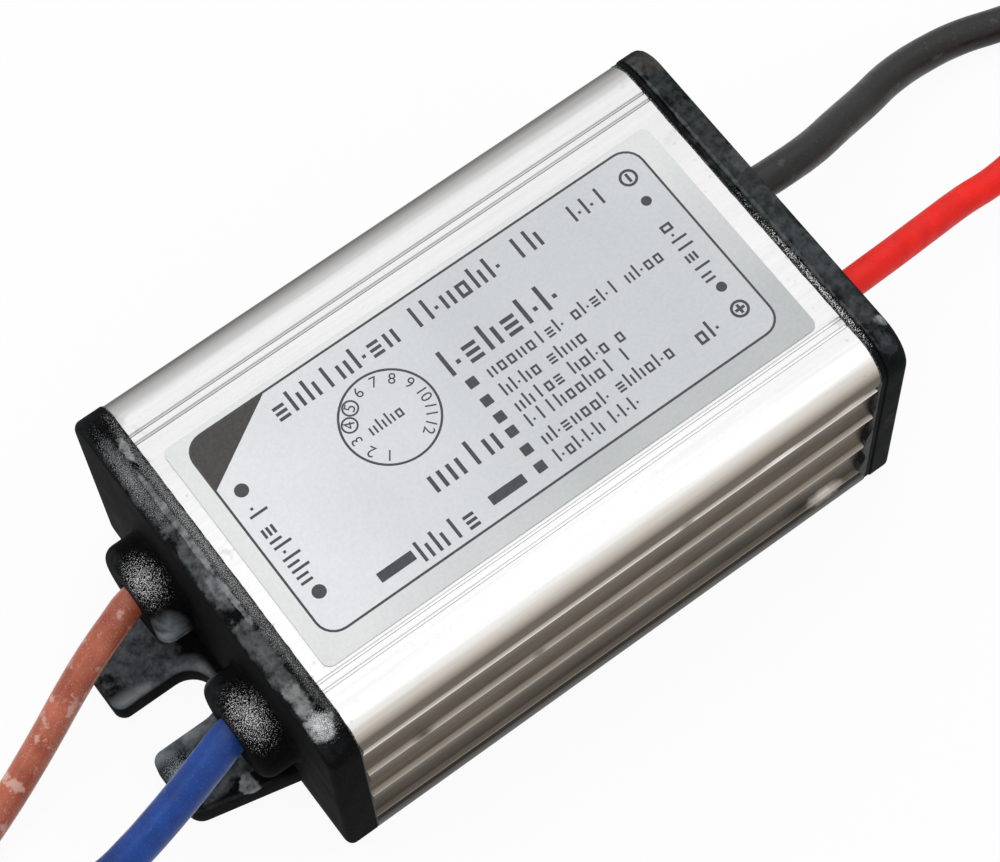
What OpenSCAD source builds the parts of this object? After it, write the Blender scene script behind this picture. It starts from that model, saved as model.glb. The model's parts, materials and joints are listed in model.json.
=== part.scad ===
// Potted-style LED driver: fluted aluminium case, moulded end caps, printed label and four free leads.
// The origin is at the bottom centre of the case. +X points to the output end and +Z out of the label.

/* [Housing] */
// Length of the aluminium extrusion
housing_l = 50.6; // [43:0.1:80]
// Width over the side ribs
housing_w = 35.8; // [30:0.1:60]
// Height from the bottom to the label face
housing_h = 23.8; // [20:0.1:40]
// Thickness of the case wall under the flutes
wall_t = 1.6; // [1:0.1:1.8]
// Radius of the two top corners
top_corner_r = 3.3; // [2:0.1:3.4]
// Radius of the two bottom corners
bottom_corner_r = 0.8; // [0.4:0.1:1.5]
// Number of ribs on each side
rib_count = 4; // [2:1:4]
// Height of the lowest rib
first_rib_z = 3.3; // [2.6:0.1:3.4]
// Distance of the top rib below the label face
top_rib_drop = 4.3; // [4.3:0.1:7]
// Radius of a rib's rounded crest
rib_r = 0.4; // [0.3:0.05:0.6]
// Depth of the hollow flute between two ribs
flute_d = 0.35; // [0.2:0.05:0.5]
// Width of the dip above the top rib and below the lowest one
dip_w = 0.9; // [0.6:0.1:1]

/* [Grooves in the top face] */
// Distance of the outer pair of grooves from the side ribs
outer_groove_in = 4.64; // [3.9:0.01:4.8]
// Distance of the inner pair of grooves from the side ribs
inner_groove_in = 5.45; // [5.3:0.01:5.5]
// Width of a groove
groove_w = 0.2; // [0.1:0.05:0.4]
// Depth of a groove
groove_d = 0.1; // [0.05:0.05:0.4]

/* [Board slots] */
// How far the slot rails stand out of the inner wall
rail_d = 1.2; // [0.8:0.1:1.4]
// Thickness of a slot rail
rail_t = 1; // [0.6:0.1:1.2]
// Radius of the cavity's corners
cavity_corner_r = 1.2; // [0.6:0.1:1.4]

/* [Label] */
// Average distance of the sticker's ends from the case's ends
label_end_gap = 1.4; // [0.6:0.1:8]
// Average distance of the sticker's long edges from the side ribs
label_side_gap = 6.55; // [6.5:0.05:10]
// Offset of the sticker along the case
label_x = -0.3; // [-0.4:0.1:0.4]
// Offset of the sticker across the case
label_y = -0.7; // [-0.7:0.1:0.4]
// Thickness of the sticker
label_t = 0.12; // [0.08:0.01:0.3]
// Corner radius of the sticker
label_r = 0.8; // [0.3:0.1:3]

/* [End caps] */
// Thickness of a cap's flange
flange_t = 2.8; // [2:0.1:4]
// How far the flange stands out past the case on the sides and top
flange_lip = 0.12; // [0.05:0.01:0.5]
// Radius of the rounding on the flange's outer edge
flange_edge_r = 0.7; // [0.3:0.1:0.9]
// Radius of the flange's bottom corners
flange_bottom_r = 1.2; // [1:0.1:2]
// Depth of the plug that reaches into the case
plug_d = 2.6; // [1.5:0.1:3]
// Wall thickness of the plug
plug_t = 1.4; // [1:0.1:2]
// Gap between the plug and what surrounds it
plug_gap = 0.15; // [0.05:0.05:0.3]
// Thickness of the sealant under a flange
seal_t = 0.25; // [0.1:0.05:0.5]
// How far the sealant stays back from the flange's edge
seal_inset = 0.15; // [0.1:0.01:0.4]

/* [Cable bosses] */
// Height of the lead exits above the bottom
exit_z = 10.4; // [10:0.1:10.6]
// Sideways place of the brown lead's exit
brown_y = 6.9; // [6.6:0.1:7.2]
// Sideways place of the blue lead's exit
blue_y = -7.4; // [-7.6:0.1:-7]
// Sideways place of the black lead's exit
black_y = 6.1; // [5.9:0.1:6.4]
// Sideways place of the red lead's exit
red_y = -6.1; // [-6.4:0.1:-5.9]
// Radius of a cable boss
boss_r = 4.7; // [4:0.1:4.9]
// How far a boss stands out of the flange
boss_l = 3.3; // [2:0.1:5]
// Rounding of a boss's outer rim
boss_edge_r = 1.2; // [0.5:0.1:1.8]
// Fillet between a boss and the flange
boss_root_r = 0.45; // [0.2:0.05:0.8]
// Gap between a lead and its bore
bore_gap = 0.1; // [0.05:0.05:0.2]
// Width and depth of the countersink at a bore's mouth
bore_mouth = 0.3; // [0.1:0.1:0.6]

/* [Mounting ear] */
// How far the ear stands out of the input cap
ear_l = 9.1; // [8:0.1:14]
// Width of the ear at the cap
ear_root_w = 21.8; // [16:0.1:26]
// Width of the ear at its tip
ear_tip_w = 17.4; // [14:0.1:21]
// Thickness of the ear
ear_t = 3; // [2:0.1:4]
// Radius of the ear's outer corners
ear_corner_r = 1.4; // [0.6:0.1:2]
// Width of the screw slot
slot_w = 4.8; // [3.5:0.1:5.5]
// Distance from the ear's tip to the centre of the slot's round end
slot_l = 5.5; // [4:0.1:6]
// Rounding of the slot's mouth
slot_mouth_r = 1; // [0.4:0.1:1.5]

/* [Leads] */
// Diameter of the brown lead
brown_d = 2.7; // [2:0.1:3]
// Diameter of the blue lead
blue_d = 3.2; // [2:0.1:3.2]
// Diameter of the red lead
red_d = 2.7; // [2:0.1:3]
// Diameter of the black lead
black_d = 3.2; // [2:0.1:3.2]
// Diameter of a lead's tinned core
core_d = 1.3; // [0.8:0.1:1.5]
// Length of the stripped and tinned tip
tip_l = 6; // [4:0.5:10]
// How far the leads reach over the board
lead_reach = 3.2; // [2:0.1:3.2]

/* [Board] */
// Thickness of the circuit board
board_t = 1.6; // [1:0.1:2]
// Gap between the board and its slots
board_gap = 0.1; // [0.05:0.05:0.2]
// Gap between the leads and the board
lead_gap = 0.1; // [0.05:0.05:0.2]
// Thickness of the insulating film
film_t = 0.3; // [0.1:0.05:0.5]
// Gap between the film's upright sides and the case
film_gap = 0.1; // [0.05:0.05:0.3]

/* [Transformer] */
// Gap between the core and the rectifier beside it
core_side_gap = 1.15; // [0.8:0.05:1.6]
// Length of a core half, along the legs
core_half_l = 6.2; // [6:0.1:6.6]
// Thickness of an outer leg and of the core's back, as a share of the core's width
leg_share = 0.154; // [0.12:0.002:0.17]
// Width of the middle leg, as a share of the core's width
middle_leg_share = 0.23; // [0.2:0.01:0.26]
// Gap between the bobbin and the roof of the case
bobbin_roof_gap = 1.6; // [0.6:0.1:3]
// Gap between the core and the bobbin
core_gap = 0.1; // [0.05:0.05:0.2]
// Thickness of the bobbin's walls
bobbin_t = 0.6; // [0.5:0.05:0.8]
// How far the bobbin's flange stands out above and below the core
bobbin_rise = 2.8; // [2.4:0.1:2.8]
// Gap between the bobbin's flange and the board
bobbin_foot = 0.3; // [0.2:0.05:0.4]
// Gap between the winding and the edges of the flanges
winding_inset = 0.2; // [0.1:0.05:0.4]
// Diameter of a pin
pin_d = 0.6; // [0.5:0.05:0.8]
// Distance of the outer pins from the core's sides
pin_edge = 1.7; // [1.2:0.1:2.5]
// How far the pins reach below the board
pin_tail = 1.2; // [0.6:0.1:1.5]
// Place of the transformer along the board
transformer_x = 2.6; // [2.2:0.1:3]

/* [Capacitors and choke] */
// Diameter of the input capacitor
input_cap_d = 8; // [6:0.1:8.4]
// Gap between the input capacitor and the roof of the case
input_cap_roof_gap = 1.5; // [1:0.1:4]
// Diameter of the output capacitor
output_cap_d = 6.3; // [5:0.1:8]
// Gap between the output capacitor and the roof of the case
output_cap_roof_gap = 2; // [1:0.1:4]
// Diameter of the choke
choke_d = 7; // [6:0.1:7.2]
// Height of the choke
choke_h = 8; // [6:0.1:10]
// Thickness of the choke's end discs
choke_disc_t = 1.2; // [0.8:0.1:2]
// Diameter of the choke's inner post
choke_post_d = 3; // [2:0.1:4]
// Diameter of the isolation capacitor's disc
isolation_d = 6; // [5:0.1:7.4]
// Thickness of the isolation capacitor
isolation_t = 3; // [2:0.1:3.4]
// Diameter of the surge varistor's disc
varistor_d = 7; // [5:0.1:7.4]
// Thickness of the surge varistor
varistor_t = 3; // [2:0.1:3.2]

/* [Small components] */
// Diameter of the fuse
fuse_d = 3; // [2:0.1:3.4]
// Length of the fuse's body
fuse_l = 7; // [5:0.1:7.4]
// Diameter of the output diode
diode_d = 3.4; // [2:0.1:3.8]
// Length of the output diode
diode_l = 6; // [4:0.1:6.6]
// Length of the bridge rectifier
bridge_l = 6.4; // [5:0.1:6.6]
// Width of the bridge rectifier
bridge_w = 5; // [4:0.1:5.4]
// Height of the bridge rectifier
bridge_h = 3; // [2:0.1:4]
// Width of the switching transistor
transistor_w = 6.5; // [5:0.1:6.8]
// Thickness of the switching transistor
transistor_t = 2.3; // [1.6:0.1:2.6]
// Height of the switching transistor's body
transistor_h = 6; // [5:0.1:7]
// Length of the controller chip
chip_l = 4.9; // [4:0.1:5.4]
// Width of the controller chip
chip_w = 3.9; // [3:0.1:4.2]
// Thickness of the controller chip
chip_t = 1.5; // [1:0.1:1.8]
// Length of a chip resistor
resistor_l = 2; // [1.6:0.1:2.4]
// Width of a chip resistor
resistor_w = 1.25; // [0.8:0.05:1.6]
// Thickness of a chip resistor
resistor_t = 0.55; // [0.4:0.05:0.8]
// Diameter of the components' wire legs
leg_d = 0.6; // [0.5:0.05:0.8]
// How far a component's body stands off the board
stand_off = 1.2; // [0.8:0.1:1.6]
// Least distance between a component and the edge of the board
edge_margin = 1.6; // [1.4:0.1:1.8]
// Gap between neighbouring components
part_gap = 0.8; // [0.5:0.1:0.8]

/* [Hidden] */
$fn = 40;

// One overrun serves every cut
over = 1;

// Case
half_l = housing_l / 2;
half_w = housing_w / 2;
wall_y = half_w - rib_r;
last_rib_z = housing_h - top_rib_drop;
rib_pitch = (last_rib_z - first_rib_z) / (rib_count - 1);
flute_chord = rib_pitch - 2 * rib_r;
flute_r = (flute_chord * flute_chord / 4 + flute_d * flute_d) / (2 * flute_d);
cavity_half_w = wall_y - flute_d - wall_t;
cavity_top = housing_h - wall_t;

// Board, which the leads rest on
lead_r_max = max(brown_d, blue_d, red_d, black_d) / 2;
board_top = exit_z - lead_r_max - lead_gap;
board_bottom = board_top - board_t;
board_half_w = cavity_half_w - board_gap;
board_half_l = half_l - plug_d - board_gap;
lower_rail_z = board_bottom - board_gap - rail_t;
upper_rail_z = board_top + board_gap;

// Label
label_l = housing_l - 2 * label_end_gap;
label_w = housing_w - 2 * label_side_gap;

// Caps
flange_half_w = half_w + flange_lip;
flange_top = housing_h + flange_lip;
flange_corner_r = top_corner_r + flange_lip;
seal_face_x = half_l + seal_t;
flange_face_x = seal_face_x + flange_t;
boss_end_x = flange_face_x + boss_l;
plug_half_w = cavity_half_w - rail_d - plug_gap;
plug_bottom = wall_t + plug_gap;
plug_top = cavity_top - plug_gap;

// Ear
ear_tip_x = -flange_face_x - ear_l;
slot_x = ear_tip_x + slot_l;

// Rows of components start here, at either side of the board
row_y = board_half_w - rail_d - edge_margin;

// Transformer, which fills the height between the board and the roof and the width beside the rectifier
bobbin_half_h = (cavity_top - bobbin_roof_gap - board_top - bobbin_foot) / 2;
coil_z = board_top + bobbin_foot + bobbin_half_h;
core_t = 2 * (bobbin_half_h - bobbin_rise);
core_bottom = coil_z - core_t / 2;
core_w = 2 * (row_y - bridge_w - core_side_gap);
leg_t = leg_share * core_w;
middle_leg_w = middle_leg_share * core_w;
window_w = (core_w - middle_leg_w) / 2 - leg_t;
window_half_l = core_half_l - leg_t;
tube_half_w = middle_leg_w / 2 + core_gap + bobbin_t;
tube_half_h = core_t / 2 + core_gap + bobbin_t;
bobbin_half_w = middle_leg_w / 2 + window_w - core_gap;
bobbin_half_l = window_half_l - core_gap;
flange_inner_x = bobbin_half_l - bobbin_t;
pin_count = 4;
pin_pitch = (core_w - 2 * pin_edge) / (pin_count - 1);
pin_x = (flange_inner_x + core_half_l) / 2;
pin_hole_r = pin_d / 2 + board_gap;

// Places of the components along the board; the choke stands between the capacitor and the transformer
behind_leads = board_half_l - lead_reach - part_gap;
bend_l = 2.5 * leg_d;
fuse_x = -board_half_l + edge_margin + fuse_l / 2 + bend_l;
varistor_x = -behind_leads + varistor_d / 2;
varistor_y = row_y - fuse_d - edge_margin - varistor_t / 2;
choke_x = transformer_x - core_half_l - part_gap - choke_d / 2;
bridge_x = fuse_x + fuse_l / 2 + bend_l + part_gap + bridge_l / 2;
isolation_x = bridge_x + bridge_l / 2 + part_gap + isolation_d / 2;
input_cap_x = -behind_leads + input_cap_d / 2;
transistor_x = input_cap_x + input_cap_d / 2 + part_gap + transistor_w / 2;
output_cap_x = behind_leads - output_cap_d / 2;
diode_x = behind_leads - diode_l / 2 - bend_l;
input_cap_h = cavity_top - input_cap_roof_gap - board_top;
output_cap_h = cavity_top - output_cap_roof_gap - board_top;
chip_x = transformer_x - core_half_l - chip_l;
resistor_x = chip_x - chip_l;

// Colours
silver = [0.8, 0.8, 0.79];
foil = [0.82, 0.82, 0.8];
cap_black = [0.09, 0.09, 0.11];
sealant = [0.35, 0.34, 0.33];
board_green = [0.1, 0.36, 0.2];
film_clear = [0.85, 0.83, 0.7];
ferrite = [0.22, 0.22, 0.23];
bobbin_black = [0.12, 0.12, 0.12];
tape_yellow = [0.85, 0.7, 0.15];
tin = [0.72, 0.73, 0.75];
sleeve_black = [0.1, 0.12, 0.2];
copper = [0.72, 0.4, 0.2];
ceramic_blue = [0.15, 0.35, 0.65];
epoxy_black = [0.1, 0.1, 0.1];
fuse_brown = [0.45, 0.3, 0.2];
brown = [0.42, 0.2, 0.12];
blue = [0.12, 0.25, 0.55];
red = [0.7, 0.1, 0.1];
black = [0.05, 0.05, 0.05];

// Leads: each route runs from the board through the boss to the start of its coil
brown_route = [[-19.4, 6.9, 10.4], [-24, 6.9, 10.4], [-28, 6.9, 10.4], [-31.7, 6.9, 10.4],
               [-34, 6.2, 10.1], [-37, 5.4, 8.9], [-40, 4.6, 7], [-43, 3.7, 5],
               [-46, 2.8, 3.2], [-49, 1.8, 2], [-52, 0.7, 1.5], [-55, -0.4, 1.35],
               [-58, -1.4, 1.35], [-61, -2.4, 1.35], [-64, -3.3, 1.35], [-66.8, -4, 1.35]];
blue_route = [[-19.4, -7.4, 10.4], [-24, -7.4, 10.4], [-28, -7.4, 10.4], [-31.7, -7.4, 10.4],
              [-34, -8, 10.1], [-37, -8.6, 9], [-40, -9, 7.5], [-43, -9.3, 6.1],
              [-46, -9.5, 5.2], [-49, -9.2, 4.7], [-52, -8.4, 4.4], [-55.4, -7, 4.3],
              [-58.8, -5.4, 4.3], [-62.2, -4.2, 4.3], [-65.6, -3.7, 4.3]];
black_route = [[19.4, 6.1, 10.4], [24, 6.1, 10.4], [28, 6.1, 10.4], [31.7, 6.1, 10.4],
               [35, 6.2, 9.9], [39, 6.8, 8.5], [43, 7.9, 6.8], [47, 9, 5],
               [51, 10.1, 3.5], [55, 10.5, 2.4], [59, 10.2, 1.8], [63, 9.1, 1.6],
               [66.5, 8.1, 1.6], [70.2, 7.3, 1.6], [74, 7, 1.6]];
red_route = [[19.4, -6.1, 10.4], [24, -6.1, 10.4], [28, -6.1, 10.4], [31.7, -6.1, 10.4],
             [35, -5.9, 10], [39, -5.4, 8.8], [43, -4.8, 7.4], [47, -4.3, 6.2],
             [51, -4.1, 5.3], [54.5, -3.5, 4.9], [58, -2.1, 4.7], [61, 0.3, 4.6],
             [63.8, 2.9, 4.55], [66.4, 4.9, 4.55]];
coil_r = 15;
left_coil = [-63, -18.5];
right_coil = [74, -8];
// Distance from the origin to a boss's end for which the routes and the coils are laid out
laid_boss_end = 31.65;
tube_sides = 8;
// Angle at which each coil starts, and how far it turns, positive anticlockwise
brown_start = 105;
brown_turn = 280;
blue_start = 100;
blue_turn = 262;
black_start = 90;
black_turn = -265;
red_start = 120;
red_turn = -290;

// Vector of length one
function unit(v) = v / norm(v);

// Points of one rounded corner of an outline
function corner(before, at, after, r, steps = 6) =
    let (a = unit(before - at), b = unit(after - at), spread = acos(a * b),
         centre = at + unit(a + b) * r / sin(spread / 2),
         start = at + a * r / tan(spread / 2) - centre,
         end = at + b * r / tan(spread / 2) - centre,
         from = atan2(start[1], start[0]),
         turn = (atan2(end[1], end[0]) - from + 540) % 360 - 180)
    [for (i = [0 : steps]) centre + r * [cos(from + turn * i / steps), sin(from + turn * i / steps)]];

// Outline whose corners are rounded, each corner given as [x, y, radius]
function rounded(corners) =
    let (n = len(corners), at = [for (c = corners) [c[0], c[1]]])
    [for (i = [0 : n - 1])
        each corners[i][2] > 0
            ? corner(at[(i + n - 1) % n], at[i], at[(i + 1) % n], corners[i][2])
            : [at[i]]];

// Extrusion along X of an outline drawn as [y, z]
module along_x(from, to) {
    translate([from, 0, 0]) rotate([90, 0, 90]) linear_extrude(height = to - from) children();
}

// Cylinder along X
module rod_x(r, from, to) {
    translate([from, 0, 0]) rotate([0, 90, 0]) cylinder(r = r, h = to - from);
}

// Symmetric outline with its own radius for the top and the bottom corners
module case_outline(half, bottom, top, bottom_r, top_r) {
    translate([-half, bottom + bottom_r]) square([2 * half, top - top_r - bottom - bottom_r]);
    translate([-half + top_r, top - top_r]) square([2 * (half - top_r), top_r]);
    translate([-half + bottom_r, bottom]) square([2 * (half - bottom_r), bottom_r]);
    for (side = [-1, 1]) {
        translate([side * (half - top_r), top - top_r]) circle(r = top_r);
        translate([side * (half - bottom_r), bottom + bottom_r]) circle(r = bottom_r);
    }
}

// Side wall of the case between its ribs: what is cut away on the +Y side
module flute_cuts() {
    difference() {
        translate([wall_y, first_rib_z - dip_w])
            square([rib_r + over, last_rib_z - first_rib_z + 2 * dip_w]);
        for (i = [0 : rib_count - 1])
            translate([wall_y, first_rib_z + i * rib_pitch]) circle(r = rib_r);
    }
    for (i = [0 : rib_count - 2])
        translate([wall_y + flute_r - flute_d, first_rib_z + (i + 0.5) * rib_pitch])
            circle(r = flute_r, $fn = 160);
}

module groove(y) {
    translate([y - groove_w / 2, housing_h - groove_d]) square([groove_w, groove_d + over]);
}

module board_rail(z) {
    translate([cavity_half_w - rail_d, z]) square([rail_d + over, rail_t]);
}

module housing() {
    color(silver) along_x(-half_l, half_l) {
        difference() {
            case_outline(half_w, 0, housing_h, bottom_corner_r, top_corner_r);
            for (side = [0, 1]) mirror([side, 0]) {
                flute_cuts();
                groove(half_w - outer_groove_in);
                groove(half_w - inner_groove_in);
            }
            difference() {
                case_outline(cavity_half_w, wall_t, cavity_top, cavity_corner_r, cavity_corner_r);
                for (side = [0, 1]) mirror([side, 0]) {
                    board_rail(lower_rail_z);
                    board_rail(upper_rail_z);
                }
            }
        }
    }
}

module label() {
    l = label_l / 2;
    w = label_w / 2;
    color(foil) translate([label_x, label_y, housing_h])
        linear_extrude(height = label_t)
            polygon(rounded([[-l, -w, label_r], [l, -w, label_r], [l, w, label_r], [-l, w, label_r]]));
}

// Flange of a cap, made for the +X end, with its outer edge rounded in steps
module flange() {
    steps = 4;
    hull() {
        along_x(seal_face_x, flange_face_x - flange_edge_r)
            case_outline(flange_half_w, 0, flange_top, flange_bottom_r, flange_corner_r, $fn = 32);
        for (i = [1 : steps]) {
            a = 90 * i / steps;
            inset = flange_edge_r * (1 - cos(a));
            along_x(seal_face_x, flange_face_x - flange_edge_r * (1 - sin(a)))
                case_outline(flange_half_w - inset, inset, flange_top - inset,
                             flange_bottom_r - inset, flange_corner_r - inset, $fn = 32);
        }
    }
}

// Ring that reaches into the case, between the board rails
module plug() {
    along_x(half_l - plug_d, seal_face_x + over) difference() {
        case_outline(plug_half_w, plug_bottom, plug_top, cavity_corner_r, cavity_corner_r);
        case_outline(plug_half_w - plug_t, plug_bottom + plug_t, plug_top - plug_t,
                     cavity_corner_r / 2, cavity_corner_r / 2);
    }
}

// Turned boss with a filleted root and a rounded rim
module boss() {
    steps = 6;
    foot_x = flange_face_x - flange_t / 2;
    root_x = flange_face_x + boss_root_r;
    root = [for (i = [0 : steps]) let (a = 90 * i / steps)
        [boss_r + boss_root_r * (1 - sin(a)), root_x - boss_root_r * cos(a)]];
    rim = [for (i = [0 : steps]) let (a = 90 * i / steps)
        [boss_r - boss_edge_r * (1 - cos(a)), boss_end_x - boss_edge_r * (1 - sin(a))]];
    rotate([0, 90, 0]) rotate_extrude()
        polygon(concat([[0, foot_x], [boss_r + boss_root_r, foot_x]], root, rim, [[0, boss_end_x]]));
}

// Bore for a lead, with a countersunk mouth
module bore(r) {
    rod_x(r, half_l - plug_d - over, boss_end_x + over);
    translate([boss_end_x - bore_mouth, 0, 0]) rotate([0, 90, 0])
        cylinder(r1 = r, r2 = r + 2 * bore_mouth, h = 2 * bore_mouth);
}

// Cap for the +X end; exits lists the place and the diameter of each lead
module cap(exits) {
    difference() {
        union() {
            flange();
            plug();
            for (e = exits) translate([0, e[0], exit_z]) boss();
        }
        for (e = exits) translate([0, e[0], exit_z]) bore(e[1] / 2 + bore_gap);
    }
}

module ear() {
    root = ear_root_w / 2;
    tip = ear_tip_w / 2;
    s = slot_w / 2;
    root_x = -flange_face_x + over;
    difference() {
        linear_extrude(height = ear_t)
            polygon(rounded([[root_x, -root, 0],
                             [ear_tip_x, -tip, ear_corner_r],
                             [ear_tip_x, -s, slot_mouth_r], [slot_x, -s, 0],
                             [slot_x, s, 0], [ear_tip_x, s, slot_mouth_r],
                             [ear_tip_x, tip, ear_corner_r],
                             [root_x, root, 0]]));
        translate([slot_x, 0, -over]) cylinder(r = s, h = ear_t + 2 * over);
    }
}

module input_cap() {
    color(cap_black) {
        mirror([1, 0, 0]) cap([[brown_y, brown_d], [blue_y, blue_d]]);
        ear();
    }
}

module output_cap() {
    color(cap_black) cap([[black_y, black_d], [red_y, red_d]]);
}

module seal() {
    along_x(half_l, seal_face_x) difference() {
        case_outline(flange_half_w - seal_inset, seal_inset, flange_top - seal_inset,
                     flange_bottom_r, flange_corner_r - seal_inset);
        case_outline(cavity_half_w, wall_t, cavity_top, cavity_corner_r, cavity_corner_r);
    }
}

module input_seal() {
    color(sealant) mirror([1, 0, 0]) seal();
}

module output_seal() {
    color(sealant) seal();
}

// Places of the transformer's pins
function pin_places() =
    [for (end = [-1, 1], i = [0 : pin_count - 1])
        [transformer_x + end * pin_x, (i - (pin_count - 1) / 2) * pin_pitch]];

module circuit_board() {
    color(board_green) difference() {
        translate([-board_half_l, -board_half_w, board_bottom])
            cube([2 * board_half_l, 2 * board_half_w, board_t]);
        for (p = pin_places()) translate([p[0], p[1], board_bottom - over])
            cylinder(r = pin_hole_r, h = board_t + 2 * over, $fn = 16);
    }
}

module insulating_film() {
    outer = cavity_half_w - film_gap;
    top = lower_rail_z - film_gap;
    color(film_clear) along_x(-board_half_l, board_half_l) difference() {
        case_outline(outer, wall_t, top, cavity_corner_r, film_t / 2);
        case_outline(outer - film_t, wall_t + film_t, top + over, cavity_corner_r - film_t, film_t);
    }
}

// E-shaped half of the core, open towards -X, with its legs ending in the middle
module core_half() {
    translate([0, -core_w / 2, core_bottom]) difference() {
        cube([core_half_l, core_w, core_t]);
        for (i = [0, 1])
            translate([-over, leg_t + i * (window_w + middle_leg_w), -over])
                cube([window_half_l + over, window_w, core_t + 2 * over]);
    }
}

module left_core_half() {
    color(ferrite) translate([transformer_x, 0, 0]) mirror([1, 0, 0]) core_half();
}

module right_core_half() {
    color(ferrite) translate([transformer_x, 0, 0]) core_half();
}

module bobbin_block(x0, x1, half_y, z0, z1) {
    translate([x0, -half_y, z0]) cube([x1 - x0, 2 * half_y, z1 - z0]);
}

module transformer_bobbin() {
    rail_half_w = (pin_count - 1) / 2 * pin_pitch + pin_d;
    rail_top = core_bottom - core_gap;
    color(bobbin_black) translate([transformer_x, 0, 0]) difference() {
        union() {
            bobbin_block(-bobbin_half_l, bobbin_half_l, tube_half_w, coil_z - tube_half_h, coil_z + tube_half_h);
            for (end = [0, 1]) mirror([end, 0, 0]) {
                bobbin_block(flange_inner_x, bobbin_half_l, bobbin_half_w,
                             coil_z - bobbin_half_h, coil_z + bobbin_half_h);
                bobbin_block(flange_inner_x, core_half_l, rail_half_w, board_top, rail_top);
            }
        }
        bobbin_block(-bobbin_half_l - over, bobbin_half_l + over, tube_half_w - bobbin_t,
                     coil_z - tube_half_h + bobbin_t, coil_z + tube_half_h - bobbin_t);
        for (p = pin_places()) translate([p[0] - transformer_x, p[1], board_top - over])
            cylinder(r = pin_d / 2, h = over + bobbin_rise / 2, $fn = 16);
    }
}

module transformer_winding() {
    half_y = bobbin_half_w - winding_inset;
    low = coil_z - bobbin_half_h + winding_inset;
    high = coil_z + bobbin_half_h - winding_inset;
    color(tape_yellow) translate([transformer_x, 0, 0]) along_x(-flange_inner_x, flange_inner_x) difference() {
        case_outline(half_y, low, high, half_y / 2, half_y / 2);
        translate([-tube_half_w, coil_z - tube_half_h]) square([2 * tube_half_w, 2 * tube_half_h]);
    }
}

module transformer_pins() {
    color(tin) for (p = pin_places()) translate([p[0], p[1], board_bottom - pin_tail])
        cylinder(r = pin_d / 2, h = pin_tail + board_t + bobbin_rise / 2, $fn = 16);
}

// Upright capacitor with a rolled groove near its foot and a scored top
module electrolytic(d, h) {
    r = d / 2;
    neck = d / 20;
    rotate_extrude() polygon([[0, 0], [r - neck, 0], [r, neck], [r, 2 * neck], [r - neck, 3 * neck],
                              [r, 4 * neck], [r, h - neck], [r - neck, h], [0, h]]);
}

module input_capacitor() {
    color(sleeve_black) translate([input_cap_x, -row_y + input_cap_d / 2, board_top])
        electrolytic(input_cap_d, input_cap_h);
}

module output_capacitor() {
    color(sleeve_black) translate([output_cap_x, row_y - output_cap_d / 2, board_top])
        electrolytic(output_cap_d, output_cap_h);
}

module choke_place() {
    translate([choke_x, 0, board_top]) children();
}

module choke_core() {
    color(ferrite) choke_place() {
        cylinder(r = choke_d / 2, h = choke_disc_t);
        cylinder(r = choke_post_d / 2, h = choke_h);
        translate([0, 0, choke_h - choke_disc_t]) cylinder(r = choke_d / 2, h = choke_disc_t);
    }
}

module choke_winding() {
    color(copper) choke_place() translate([0, 0, choke_disc_t]) difference() {
        cylinder(r = choke_d / 2 - winding_inset, h = choke_h - 2 * choke_disc_t);
        translate([0, 0, -over]) cylinder(r = choke_post_d / 2, h = choke_h + 2 * over);
    }
}

// Lying part with a leg at each end, bent down to the board
module axial(d, l) {
    z = d / 2 + stand_off;
    reach = l / 2 + 2 * leg_d;
    translate([0, 0, z]) {
        rod_x(d / 2, -l / 2, l / 2);
        rod_x(leg_d / 2, -reach, reach);
    }
    for (end = [-1, 1]) translate([end * reach, 0, 0]) {
        cylinder(r = leg_d / 2, h = z);
        translate([0, 0, z]) sphere(r = leg_d / 2);
    }
}

module input_fuse() {
    color(fuse_brown) translate([fuse_x, row_y - fuse_d / 2, board_top]) axial(fuse_d, fuse_l);
}

module output_diode() {
    color(epoxy_black) translate([diode_x, -row_y + diode_d / 2, board_top]) axial(diode_d, diode_l);
}

// Upright disc on two legs, thick along X
module disc_on_legs(d, t) {
    translate([0, 0, d / 2 + stand_off]) rotate([0, 90, 0]) rotate_extrude() {
        square_r = d / 2 - t / 2;
        translate([0, -t / 2]) square([square_r, t]);
        translate([square_r, 0]) intersection() {
            circle(r = t / 2);
            translate([0, -t / 2]) square([t, t]);
        }
    }
    for (side = [-1, 1]) translate([0, side * d / 4, 0])
        cylinder(r = leg_d / 2, h = stand_off + d / 2, $fn = 16);
}

module surge_varistor() {
    color(ceramic_blue) translate([varistor_x, varistor_y, board_top])
        rotate([0, 0, 90]) disc_on_legs(varistor_d, varistor_t);
}

module isolation_capacitor() {
    color(ceramic_blue) translate([isolation_x, row_y - isolation_t / 2, board_top])
        rotate([0, 0, 90]) disc_on_legs(isolation_d, isolation_t);
}

module bridge_rectifier() {
    y = row_y - bridge_w / 2;
    color(epoxy_black) translate([bridge_x, y, board_top]) {
        translate([-bridge_l / 2, -bridge_w / 2, stand_off]) cube([bridge_l, bridge_w, bridge_h]);
        for (i = [-1, 1], j = [-1, 1])
            translate([i * (bridge_l / 2 - leg_d), j * (bridge_w / 2 - leg_d), 0])
                cylinder(r = leg_d / 2, h = stand_off + leg_d, $fn = 16);
    }
}

module switching_transistor() {
    foot = 2 * stand_off;
    color(epoxy_black) translate([transistor_x, -row_y + transistor_t / 2, board_top]) {
        translate([-transistor_w / 2, -transistor_t / 2, foot])
            cube([transistor_w, transistor_t, transistor_h]);
        for (i = [-1 : 1]) translate([i * transistor_w / 3, 0, 0])
            cylinder(r = leg_d / 2, h = foot + leg_d, $fn = 16);
    }
}

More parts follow.
